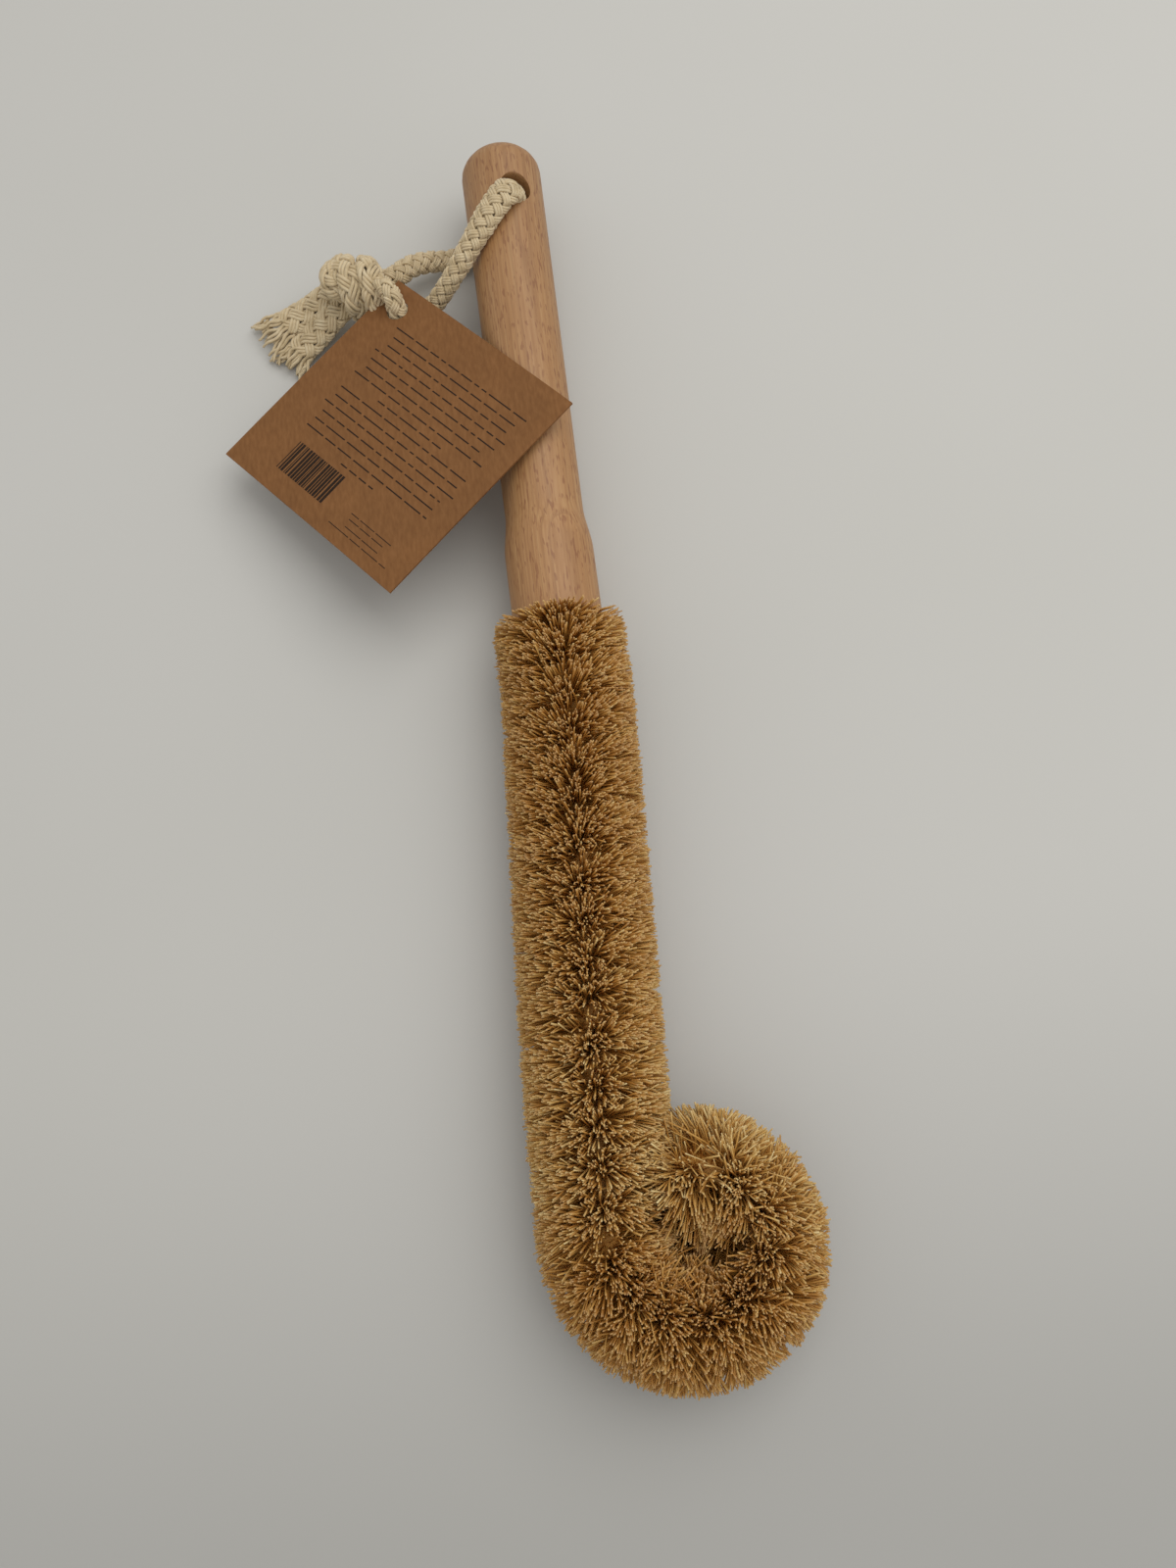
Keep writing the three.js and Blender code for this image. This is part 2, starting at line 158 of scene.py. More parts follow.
def travelled(path):
    steps = np.linalg.norm(np.diff(path, axis=-2), axis=-1)
    return np.concatenate([np.zeros_like(steps[..., :1]), np.cumsum(steps, axis=-1)], axis=-1)


def tubes(paths, radii, sides, facing, keys=None):
    count, steps = paths.shape[:2]
    along = unit(np.gradient(paths, axis=1))
    across = unit(facing - (facing * along).sum(2, keepdims=True) * along)
    over = np.cross(along, across)
    turn = np.arange(sides) * 2 * np.pi / sides
    ring = across[:, :, None] * np.cos(turn)[:, None] + over[:, :, None] * np.sin(turn)[:, None]
    points = paths[:, :, None] + radii[:, :, None, None] * ring
    number = np.arange(count * steps * sides).reshape(count, steps, sides)
    after = np.roll(number, -1, axis=2)
    walls = np.stack([number[:, :-1], after[:, :-1], after[:, 1:], number[:, 1:]], -1)
    far = np.broadcast_to(travelled(paths)[:, :, None], number.shape)
    round_it = np.broadcast_to(np.arange(sides) / sides, number.shape)
    next_round = round_it + 1 / sides
    wall_far = np.stack([far[:, :-1], far[:, :-1], far[:, 1:], far[:, 1:]], -1)
    wall_round = np.stack([round_it[:, :-1], next_round[:, :-1], next_round[:, 1:], round_it[:, 1:]], -1)
    ends = np.stack([number[:, 0, ::-1], number[:, -1]], 1)
    end_far = np.stack([far[:, 0, ::-1], far[:, -1]], 1)
    end_round = np.stack([round_it[:, 0, ::-1], round_it[:, -1]], 1)
    strands = np.arange(count)
    strand = np.concatenate([np.repeat(strands, (steps - 1) * sides * 4), np.repeat(strands, 2 * sides)])
    corner_far = np.concatenate([wall_far.ravel(), end_far.ravel()])
    corner_round = np.concatenate([wall_round.ravel(), end_round.ravel()])
    share = corner_far / travelled(paths)[strand, -1]
    across_map = (strand + corner_round) / count if keys is None else keys[strand]
    return {
        "points": points.reshape(-1, 3),
        "corners": np.concatenate([walls.ravel(), ends.ravel()]),
        "sizes": np.concatenate([np.full(walls.size // 4, 4), np.full(2 * count, sides)]),
        "OFBake": np.stack([across_map, share], 1),
        "yarn": np.stack([corner_far, corner_round], 1),
    }


# %% [markdown]
# A piece of strands is one mesh with all its tubes. Its points, faces and maps are written as whole
# arrays, which takes a moment where adding tens of thousands of faces one by one would take minutes.


# %% From tubes to a piece
def strand_piece(name, groups, material):
    mesh = bpy.data.meshes.new(name)
    first = np.cumsum([0] + [len(g["points"]) for g in groups])
    points = place(np.concatenate([g["points"] for g in groups]))
    corners = np.concatenate([g["corners"] + n for g, n in zip(groups, first)])
    sizes = np.concatenate([g["sizes"] for g in groups])
    mesh.vertices.add(len(points))
    mesh.vertices.foreach_set("co", points.ravel())
    mesh.loops.add(len(corners))
    mesh.loops.foreach_set("vertex_index", corners.astype(np.int32))
    mesh.polygons.add(len(sizes))
    mesh.polygons.foreach_set("loop_start", (np.cumsum(sizes) - sizes).astype(np.int32))
    mesh.update(calc_edges=True)
    mesh.shade_smooth()
    for layer in ("OFBake", "yarn"):
        uv = np.concatenate([g[layer] for g in groups])
        uv_map = mesh.uv_layers.new(name=layer, do_init=False)
        uv_map.uv.foreach_set("vector", uv.astype(np.float32).ravel())
    mesh.materials.append(material)
    piece = bpy.data.objects.new(name, mesh)
    bpy.context.collection.objects.link(piece)
    print(name, len(sizes), "faces")
    return piece


# %% [markdown]
# ## The cord's route
# One length of cotton cord comes up out of the cross hole, lies over the handle, goes down behind the
# tag, up through the tag's hole and into the knot. The other leg leaves the hole underneath and runs to
# the knot along the table. The route is a list of given points with a smooth curve through them, and it
# is cut in two in the middle of the hole, where nobody sees it.

# %% Points that the cord passes through
HOLE_Y = 137.0
KNOT_CENTRE = (-49.9, 119.4, -3.6)
FROM_KNOT = [
    (-44, 121.8, -6), (-37.7, 123.8, -6.8), (-32, 128.3, -8.2), (-26.5, 130.9, -10.2), (-20.5, 132.6, -12.8),
    (-12.5, 135, -14.4),
]
INTO_HOLE = [(-7.4, 136.6, -13.9), (-4.2, 137, -11.2)]
HOLE_MIDDLE = (0, HOLE_Y, 0)
OUT_OF_HOLE = [(2.6, 135.4, 10.4), (0.9, 132.9, 14.7)]
TO_TAG = [
    (-3.8, 127.4, 15), (-10.4, 120.4, 11.5), (-17.2, 114.2, 5.7), (-21.4, 111.6, 1.2), (-25.6, 109.2, -2.4),
    (-31, 106, -3.2),
]
TAG_HOLE = (-36.2, 104.7, 2.8)
TO_KNOT = [(-36.8, 106.9, 5.6), (-38.2, 109.6, 5.8), (-40.8, 112.4, 3.9), (-44, 115.4, -1.5)]
TAIL_1 = [
    (-53, 122.6, -6.6), (-59.4, 121.2, -9.4), (-65.8, 119.2, -12.2), (-72.2, 116.8, -13.4),
    (-79.4, 113.6, -13.8),
]
TAIL_2 = [
    (-51.5, 117.2, -6.6), (-57.4, 115, -9.6), (-62.8, 112.2, -12.8), (-68.4, 108, -14.6), (-74.6, 102, -15.1),
]
cord_points = FROM_KNOT + INTO_HOLE + [HOLE_MIDDLE] + OUT_OF_HOLE + TO_TAG + [TAG_HOLE] + TO_KNOT
print(len(cord_points), "points from knot to knot")

# %% [markdown]
# A Catmull-Rom curve passes through every point it is given. Its centripetal form takes the root of the
# distance between points as its pace, which keeps it from looping where points lie close together. It is
# then walked in even steps.

# %% Smooth routes
CURVE_STEPS = 60
CORD_STEP = 0.35


def smooth_route(points):
    p = np.asarray(points, float)
    p = np.vstack([2 * p[0] - p[1], p, 2 * p[-1] - p[-2]])
    pace = np.linalg.norm(np.diff(p, axis=0), axis=1) ** 0.5
    t = np.linspace(0, 1, CURVE_STEPS, endpoint=False)[:, None]
    curve = []
    for i in range(1, len(p) - 2):
        a, b, c = pace[i - 1:i + 2]
        gone = p[i + 1] - p[i]
        leave = b * ((p[i] - p[i - 1]) / a - (p[i + 1] - p[i - 1]) / (a + b)) + p[i + 1] - p[i]
        reach = b * ((p[i + 2] - p[i + 1]) / c - (p[i + 2] - p[i]) / (b + c)) + p[i + 1] - p[i]
        square = 3 * gone - 2 * leave - reach
        cube = leave + reach - 2 * gone
        curve.append(p[i] + leave * t + square * t**2 + cube * t**3)
    curve = np.vstack(curve + [p[-2]])
    far = travelled(curve)
    even = np.linspace(0, far[-1], max(2, round(far[-1] / CORD_STEP)))
    return np.stack([np.interp(even, far, curve[:, k]) for k in range(3)], 1)


whole_route = smooth_route(cord_points)
middle = np.linalg.norm(whole_route - HOLE_MIDDLE, axis=1).argmin()
front_leg = whole_route[middle:]
rear_leg = whole_route[middle::-1]
print("front leg %.0f mm, rear leg %.0f mm" % (travelled(front_leg)[-1], travelled(rear_leg)[-1]))

# %% [markdown]
# ## Cotton
# Undyed cotton yarn is cream, dull and a little furry, so it has no gloss but a soft sheen where it is
# seen edge on. Each ply is twisted from two finer yarns, which show as fine slanting lines about a third
# of a millimetre apart: a bump, and painted shade that darkens the grooves between the yarns a little.
# The lines follow the "yarn" map, so they turn round each ply wherever it goes.
# The shade drifts a little from ply to ply.

# %% Twist of the cotton
YARNS = 2
TURNS_PER_MM = 1.6
cotton, cotton_shader = new_material("undyed_cotton_yarn")
yarn_map = add_node(cotton, "ShaderNodeUVMap", uv_map="yarn")
yarn_axes = add_node(cotton, "ShaderNodeSeparateXYZ", {"Vector": yarn_map.outputs["UV"]})
twisted = add_node(
    cotton, "ShaderNodeMath", {0: yarn_axes.outputs["X"], 1: TURNS_PER_MM, 2: yarn_axes.outputs["Y"]},
    operation="MULTIPLY_ADD",
)
twist_turns = add_node(
    cotton, "ShaderNodeMath", {0: twisted.outputs[0], 1: YARNS * 2 * math.pi}, operation="MULTIPLY",
)
twist_lines = add_node(cotton, "ShaderNodeMath", {0: twist_turns.outputs[0]}, operation="SINE")
# Painted shade: the cotton's colour is darkened a little along the grooves between the yarns.
painted_groove_shade = add_node(
    cotton, "ShaderNodeMapRange",
    {"Value": twist_lines.outputs[0], "From Min": -1.0, "From Max": 0.2, "To Min": 0.9, "To Max": 1.0},
)
print("yarn lines %.2f mm apart" % (1 / YARNS / TURNS_PER_MM))

# %% Colour and nap of the cotton
cotton_place = add_node(cotton, "ShaderNodeTexCoord")
drift = add_node(
    cotton, "ShaderNodeTexNoise",
    {"Vector": cotton_place.outputs["Object"], "Scale": 0.35 / MM, "Detail": 4.0},
)
cotton_tone = add_node(
    cotton, "ShaderNodeValToRGB", {"Fac": drift.outputs["Fac"]},
    stops=((0.3, "#c1ac85"), (0.72, "#dfcda9"), (0.5, "#d3be98")),
)
cotton_colour = add_node(
    cotton, "ShaderNodeMix", {0: 1.0, 6: cotton_tone.outputs["Color"], 7: painted_groove_shade.outputs[0]},
    data_type="RGBA", blend_type="MULTIPLY",
)
cotton_nap = add_node(
    cotton, "ShaderNodeTexNoise", {"Vector": cotton_place.outputs["Object"], "Scale": 4 / MM, "Detail": 2.0},
)
cotton_relief = add_node(
    cotton, "ShaderNodeMath", {0: cotton_nap.outputs["Fac"], 1: 0.8, 2: twist_lines.outputs[0]},
    operation="MULTIPLY_ADD",
)
cotton_bump = add_node(
    cotton, "ShaderNodeBump", {"Height": cotton_relief.outputs[0], "Strength": 0.45, "Distance": 0.08 * MM},
)
fill_sockets(cotton, cotton_shader, {
    "Base Color": cotton_colour.outputs[2], "Normal": cotton_bump.outputs["Normal"], "Roughness": 0.92,
    "Specular IOR Level": 0.25, "Sheen Weight": 0.25, "Sheen Roughness": 0.4,
})
print(cotton.name)

# %% [markdown]
# ## The braid
# The cord is a round braid of eight carriers. Four wind one way and four the other, each with three plies
# side by side, and each passes over one and under the next. So each ply is a helix whose distance from
# the middle rises and falls once for every two carriers that it crosses. A plain tube fills the middle,
# as the core yarns do. Wide and thick say how far the cord is pressed flat.

# %% Plies of the braid
CARRIERS = 4
PLIES = 3
PLY_RADIUS = 0.47
PLY_SIDES = 6
PLY_CROWDING = 0.72
PLY_WANDER = 0.1
WANDER_LENGTHS = (1.5, 3)
ANY_PHASE = (0, 6)
BRAID_RADIUS = 2.35
BRAID_LIFT = 0.5
BRAID_LAY = 14.8
CROSSING_SHARPNESS = 1.6
CORE_SIDES = 10
rng = np.random.default_rng(11)


def braid(path, side, wide, thick, lay):
    over = np.cross(unit(np.gradient(path, axis=0)), side)
    far = travelled(path)
    phase = 2 * np.pi * far / lay
    plies = []
    facing = []
    for way in (1, -1):
        for carrier in range(CARRIERS):
            for ply in range(PLIES):
                shift = PLY_CROWDING * 2 * np.pi * (ply - (PLIES - 1) / 2) / (CARRIERS * PLIES)
                angle = 2 * np.pi * carrier / CARRIERS + shift + way * phase
                wave = np.tanh(CROSSING_SHARPNESS * np.cos(CARRIERS * (phase + way * shift / 2)))
                wander = PLY_WANDER * np.sin(far / rng.uniform(*WANDER_LENGTHS) + rng.uniform(*ANY_PHASE))
                radius = BRAID_RADIUS + way * BRAID_LIFT * wave + wander
                out = side * (wide * np.cos(angle))[:, None] + over * (thick * np.sin(angle))[:, None]
                plies.append(path + radius[:, None] * out)
                facing.append(out)
    return np.array(plies), np.array(facing)


def core(path, side, radius):
    return tubes(path[None], np.full((1, len(path)), radius), CORE_SIDES, side[None])


print(2 * CARRIERS * PLIES, "plies in the cord")


# %% [markdown]
# Each leg is one piece. The braid's sideways direction is carried along from point to point without
# twisting, so a flattened cord doesn't turn over on its way. The front leg is pressed widest where it
# bends over the handle.

# %% Legs of the cord
LEG_THICK = 0.92
REAR_WIDE = 1.2
FRONT_PLACES = (6, 14, 22, 34, 48, 70, 80)
FRONT_WIDTHS = (1.1, 1.56, 1.44, 1.18, 0.98, 0.98, 1.15)
FRONT_SIDE = (0.85, -0.53, 0)
REAR_SIDE = (0, 1, 0)


def carried_side(path, start):
    along = unit(np.gradient(path, axis=0))
    sides = [np.asarray(start, float)]
    for way in along:
        kept = sides[-1] - sides[-1].dot(way) * way
        sides.append(unit(kept))
    return np.array(sides[1:])


def braided_piece(name, path, side, wide, thick, lay=BRAID_LAY, ply=PLY_RADIUS):
    plies, facing = braid(path, side, wide, thick, lay)
    groups = [
        tubes(plies, np.full(plies.shape[:2], ply), PLY_SIDES, facing),
        core(path, side, (BRAID_RADIUS - BRAID_LIFT) * thick),
    ]
    piece = strand_piece(name, groups, cotton)
    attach(piece, "hang_loop")
    return piece


front_wide = np.interp(travelled(front_leg), FRONT_PLACES, FRONT_WIDTHS)
leg_pieces = []
for name, leg, side, wide in (
    ("cord_front_leg", front_leg, FRONT_SIDE, front_wide), ("cord_rear_leg", rear_leg, REAR_SIDE, REAR_WIDE),
):
    piece = braided_piece(name, leg, carried_side(leg, side), wide, LEG_THICK)
    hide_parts("hang_cord")
    leg_pieces.append(piece)

# %% [markdown]
# ## The knot
# Both ends are tied together in one overhand knot. From outside it is almost two turns of cord round the
# bundle, the broad first turn over its middle and the second tucked in beside it, and an ear where the
# cord comes round the shoulder and dives under the first turn. The braid is stretched and pressed flat
# there, so its plies run almost straight along the turn. The turns are written as an angle round the
# bundle, a distance along it towards the tails, and a distance from its middle. The ear is written along,
# over and out.

# %% Turns and ear of the knot
KNOT_HEADING = math.radians(186)
KNOT_LEAN = math.radians(38)
KNOT_TURNS = [
    (140, 3.4, 6), (95, 2.2, 7), (55, 1, 7.4), (15, -0.2, 8.6), (-25, -0.8, 8.8), (-65, -1.4, 7.4),
    (-100, -2.2, 6.6), (-140, -3.4, 6), (-180, -4.9, 5.5), (-220, -6, 4.6), (-260, -6.4, 4.2),
    (-300, -6.4, 5.6), (-340, -6.5, 9), (-380, -6.7, 11), (-420, -6.5, 10), (-460, -5.8, 7.6),
    (-500, -4, 4.8),
]
KNOT_EAR = [
    (1.4, 6.8, 1), (3.9, 6.5, 1.8), (5.8, 5.2, 2.9), (6.3, 3.1, 4.1), (5.4, 1.3, 5), (3.5, 0.3, 5),
    (1.2, -0.2, 4),
]
TURNS_WIDE = 1.42
EAR_WIDE = 1.15
KNOT_THICK = 0.85
KNOT_LAY = 26
KNOT_PLY = 0.6
ahead_x, ahead_y = math.cos(KNOT_HEADING), math.sin(KNOT_HEADING)
level, upright = math.cos(KNOT_LEAN), math.sin(KNOT_LEAN)
knot_axes = np.array([
    (ahead_x, ahead_y, 0),
    (level * ahead_y, -level * ahead_x, upright),
    (-upright * ahead_y, upright * ahead_x, level),
])
turn_points = [
    (along, far * math.sin(math.radians(angle)), far * math.cos(math.radians(angle)))
    for angle, along, far in KNOT_TURNS
]
knot_pieces = []
for name, points, wide in (("knot_turns", turn_points, TURNS_WIDE), ("knot_ear", KNOT_EAR, EAR_WIDE)):
    path = smooth_route(np.array(points) @ knot_axes + KNOT_CENTRE)
    outward = unit(path - np.array(KNOT_CENTRE))
    side = unit(np.cross(outward, unit(np.gradient(path, axis=0))))
    piece = braided_piece(name, path, side, wide, KNOT_THICK, KNOT_LAY, KNOT_PLY)
    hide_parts("hang_cord_knot")
    knot_pieces.append(piece)

# %% [markdown]
# ## The frayed tails
# Past the knot the two ends lie flat side by side. The braid opens at the cut, and the plies fan out and
# droop to the table. Each ply simply goes on past the end of its braid along a curve of its own.

# %% Plies that come loose
FRAY_STEPS = 16
FRAY_FAN = 0.05
FRAY_SCATTER = 0.12
FRAY_CURVE = 0.2
FRAY_WAVE = 0.7
WAVE_PACE = (0.5, 1)
WAVE_GROWTH = 3
FRAY_DROOP = 0.2
UP = (0, 0, 1)


def frayed(plies, ahead, side, lengths):
    one_each = (len(plies), 1)
    t = (np.arange(1, FRAY_STEPS + 1) / FRAY_STEPS)[None]
    go = rng.uniform(*lengths, len(plies))[:, None] * t
    off_middle = ((plies[:, -1] - plies[:, -1].mean(0)) @ side)[:, None]
    spread = off_middle * FRAY_FAN + rng.normal(0, FRAY_SCATTER, one_each)
    wave = np.sin(go * rng.uniform(*WAVE_PACE, one_each) + rng.uniform(*ANY_PHASE, one_each))
    sideways = go * (spread + rng.normal(0, FRAY_CURVE, one_each) * t)
    sideways = sideways + FRAY_WAVE * np.clip(go / WAVE_GROWTH, 0, 1) * wave
    drop = -FRAY_DROOP * go * t
    return plies[:, -1:] + go[..., None] * ahead + sideways[..., None] * side + drop[..., None] * UP


# %% Tails
TAIL_WIDE = 1.7
TAIL_THICK = 0.62
TAIL_LAY = 24.0
TAIL_PLY = 0.56
TAIL_CORE = 1.2
BRAIDED_SHARE = 0.8
AIM_STEPS = 8
PLY_LYING = 0.5
FRAY_PLACES = (0, 0.7, 1)
FRAY_TAPER = (1, 0.9, 0.5)
taper = np.interp(np.arange(FRAY_STEPS) / FRAY_STEPS, FRAY_PLACES, FRAY_TAPER)
tail_pieces = []
for name, points, lengths in (("cord_tail_1", TAIL_1, (5, 9.5)), ("cord_tail_2", TAIL_2, (3, 7))):
    path = smooth_route(points)
    path = path[:int(BRAIDED_SHARE * len(path))]
    flat = unit(np.cross(unit(np.gradient(path, axis=0)), UP))
    plies, facing = braid(path, flat, TAIL_WIDE, TAIL_THICK, TAIL_LAY)
    loose = frayed(plies, unit(path[-1] - path[-AIM_STEPS]), flat[-1], lengths)
    plies = np.concatenate([plies, loose], 1)
    plies[..., 2] = np.maximum(plies[..., 2], FLOOR + PLY_LYING)
    facing = np.concatenate([facing, np.repeat(facing[:, -1:], FRAY_STEPS, axis=1)], 1)
    radii = np.full(plies.shape[:2], TAIL_PLY)
    radii[:, -FRAY_STEPS:] *= taper
    groups = [tubes(plies, radii, PLY_SIDES, facing), core(path, flat, TAIL_CORE)]
    piece = strand_piece(name, groups, cotton)
    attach(piece, "hang_loop")
    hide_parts(name.replace("cord", "hang_cord"))
    tail_pieces.append(piece)

# %% [markdown]
# ## The card tag
# A square of kraft card hangs on the front leg by a punched hole. The solid model says where its four
# corners are, so the card is modelled flat, punched, bowed a little as card is, and then laid on those
# corners.

# %% Corners of the tag
CORNER_DEPTH = 0.4
card_points = np.array([v.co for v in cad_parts["tag"].data.vertices])


def corner(axis, sign):
    reach = sign * card_points[:, axis]
    return Vector(card_points[reach > reach.max() - CORNER_DEPTH * MM].mean(0))


tag_top, tag_right, tag_bottom, tag_left = corner(1, 1), corner(0, 1), corner(1, -1), corner(0, -1)
tag_across = (tag_right - tag_top).normalized()
tag_down = (tag_left - tag_top).normalized()
tag_face = tag_down.cross(tag_across).normalized()
tag_side = (tag_right - tag_top).length / MM
tag_middle = (tag_top + tag_right + tag_bottom + tag_left) / 4
print("tag %.1f mm square, facing" % tag_side, tuple(round(c, 2) for c in tag_face))

# %% [markdown]
# Three short helpers do what is done by hand in the window: select one piece alone, cut one piece away
# from another with a boolean, and turn all the faces of a piece outwards.


# %% Hand tools
def only(piece):
    bpy.ops.object.select_all(action="DESELECT")
    piece.select_set(True)
    bpy.context.view_layer.objects.active = piece


def cut_away(piece, cutter):
    only(piece)
    cut = piece.modifiers.new("cut", "BOOLEAN")
    cut.object = cutter
    cut.operation = "DIFFERENCE"
    cut.solver = "EXACT"
    bpy.context.view_layer.update()
    bpy.ops.object.modifier_apply(modifier="cut")
    bpy.data.objects.remove(cutter)


def face_outwards(piece):
    only(piece)
    bpy.ops.object.mode_set(mode="EDIT")
    bpy.ops.mesh.select_all(action="SELECT")
    bpy.ops.mesh.normals_make_consistent(inside=False)
    bpy.ops.object.mode_set(mode="OBJECT")


# %% [markdown]
# The card starts as a grid of small squares, so that it can bow. Solidify gives it its thickness, a
# cylinder cuts the hole, and a very small bevel softens the cut edges. In its flat state x runs along the
# print's lines and y runs down the tag.

# %% Card
CARD_SQUARES = 38
CARD_THICKNESS = 0.6
CARD_HOLE_RADIUS = 3.4
CARD_HOLE_INSET = 8.0
CARD_HOLE_SIDES = 48
CARD_SOFTENING = 0.06
CARD_CREASE = math.radians(35)
PUNCH_LENGTH = 5

bpy.ops.object.select_all(action="DESELECT")
bpy.ops.mesh.primitive_grid_add(x_subdivisions=CARD_SQUARES, y_subdivisions=CARD_SQUARES, size=tag_side * MM)
card = bpy.context.object
card.name = card.data.name = "tag_card"
solidify = card.modifiers.new("thickness", "SOLIDIFY")
solidify.thickness = CARD_THICKNESS * MM
solidify.offset = 0
bpy.ops.object.modifier_apply(modifier="thickness")
hole_place = (CARD_HOLE_INSET - tag_side / 2) * MM
bpy.ops.mesh.primitive_cylinder_add(
    vertices=CARD_HOLE_SIDES, radius=CARD_HOLE_RADIUS * MM, depth=PUNCH_LENGTH * MM,
    location=(hole_place, hole_place, 0),
)
cut_away(card, bpy.context.object)
soften = card.modifiers.new("soften", "BEVEL")
soften.width = CARD_SOFTENING * MM
soften.segments = 1
soften.limit_method = "ANGLE"
bpy.ops.object.modifier_apply(modifier="soften")
bpy.ops.object.shade_smooth_by_angle(angle=CARD_CREASE)
print("card", len(card.data.polygons), "faces")

# %% [markdown]
# Laying the flat card on its corners is a sum of three directions: across the tag, down it and out of its
# face. The bow is a shallow hump along the last, stronger across the tag than down it, and the whole card
# is sunk by half the hump so that it stays about its own plane.

# %% Laid on the tag's corners
CARD_BOW = 0.5
BOW_DOWN = 0.4
BOW_SINK = 0.5


def lie_on_tag(mesh):
    flat = np.array([v.co for v in mesh.vertices])
    half = tag_side * MM / 2
    bow = CARD_BOW * MM * (1 - (flat[:, 0] / half) ** 2 - BOW_DOWN * (flat[:, 1] / half) ** 2)
    lifted = flat[:, 2] + bow - BOW_SINK * CARD_BOW * MM
    laid = np.array(tag_middle) + np.outer(flat[:, 0], tag_across) + np.outer(flat[:, 1], tag_down)
    laid = laid + np.outer(lifted, tag_face)
    mesh.vertices.foreach_set("co", laid.astype(np.float32).ravel())
    mesh.update()


lie_on_tag(card.data)
face_outwards(card)
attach(card, "tag")
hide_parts("tag")
print("card laid about", tuple(round(c / MM, 1) for c in tag_middle), "mm")

# %% [markdown]
# Kraft card is unbleached pulp pressed on rollers: brown, dull, with short paler and darker fibres in it.
# The fibres are noise stretched along the card, about half a millimetre wide, and the same noise gives
# the card a slight tooth. A much broader noise makes it a little mottled.

# %% Kraft card material
PULP_HEADING = math.radians(38)
kraft, kraft_shader = new_material("kraft_card")
kraft_place = add_node(kraft, "ShaderNodeTexCoord")
kraft_turn = add_node(
    kraft, "ShaderNodeMapping",
    {
        "Vector": kraft_place.outputs["Object"], "Rotation": (0.0, 0.0, PULP_HEADING),
        "Scale": (1.0, 0.3, 1.0),
    },
)
pulp = add_node(
    kraft, "ShaderNodeTexNoise", {"Vector": kraft_turn.outputs["Vector"], "Scale": 1.1 / MM, "Detail": 5.0},
)
mottle = add_node(
    kraft, "ShaderNodeTexNoise", {"Vector": kraft_place.outputs["Object"], "Scale": 0.08 / MM, "Detail": 3.0},
)
pulp_tone = add_node(
    kraft, "ShaderNodeValToRGB", {"Fac": pulp.outputs["Fac"]},
    stops=((0.3, "#754e2c"), (0.7, "#835a35"), (0.5, "#7c5430")),
)
mottle_shade = add_node(
    kraft, "ShaderNodeMapRange",
    {"Value": mottle.outputs["Fac"], "From Min": 0.3, "From Max": 0.7, "To Min": 0.94, "To Max": 1.06},
)
kraft_colour = add_node(
    kraft, "ShaderNodeMix", {0: 1.0, 6: pulp_tone.outputs["Color"], 7: mottle_shade.outputs[0]},
    data_type="RGBA", blend_type="MULTIPLY",
)
kraft_bump = add_node(
    kraft, "ShaderNodeBump", {"Height": pulp.outputs["Fac"], "Strength": 0.25, "Distance": 0.05 * MM},
)
fill_sockets(kraft, kraft_shader, {
    "Base Color": kraft_colour.outputs[2], "Normal": kraft_bump.outputs["Normal"], "Roughness": 0.8,
    "Specular IOR Level": 0.18,
})
dress(card.data, kraft)

# %% [markdown]
# ## Print
# The tag is printed in one dark ink: rows of plain dashes and a block of bars below them. Each mark is a
# very thin box of ink on the card, so it stays sharp at any size. x and y are millimetres from the tag's
# top corner.

# %% Ink marks
PRINT_ROWS = 15
PRINT_MIDDLE = 40.6
PRINT_TOP = 12.3
PRINT_PITCH = 3.07
PRINT_LENGTHS = (51, 57)
SHORT_LENGTHS = {7: 27.5, 14: 15.0}
PRINT_DASH = (0.42, 1.1)
SMALL_MIDDLE = 56.3
SMALL_ROWS = ((64.6, 17), (66.4, 15.5), (68.7, 14), (70.6, 24.5))
SMALL_DASH = (0.26, 0.7)
DASH_LENGTHS = (1.6, 9)
LEAST_ROOM = 1
BARS_LEFT = 17.0
BARS_RIGHT = 38
BARS_TOP = 57.8
BARS_HEIGHT = 10.4
BAR_WIDTHS = (0.3, 0.6, 0.9)
BAR_GAPS = (0.3, 0.3, 0.6)
print_rng = np.random.default_rng(5)
marks = []


def row_of_dashes(middle, y, length, dash_height, gap):
    x = middle - length / 2
    end = middle + length / 2
    while x < end - LEAST_ROOM:
        dash = min(print_rng.uniform(*DASH_LENGTHS), end - x)
        marks.append((x, y, dash, dash_height))
        x += dash + gap


for row in range(PRINT_ROWS):
    length = SHORT_LENGTHS.get(row, print_rng.uniform(*PRINT_LENGTHS))
    row_of_dashes(PRINT_MIDDLE, PRINT_TOP + row * PRINT_PITCH, length, *PRINT_DASH)
for y, length in SMALL_ROWS:
    row_of_dashes(SMALL_MIDDLE, y, length, *SMALL_DASH)
x = BARS_LEFT
while x < BARS_RIGHT:
    bar = print_rng.choice(BAR_WIDTHS)
    marks.append((x, BARS_TOP, bar, BARS_HEIGHT))
    x += bar + print_rng.choice(BAR_GAPS)
print(len(marks), "ink marks")

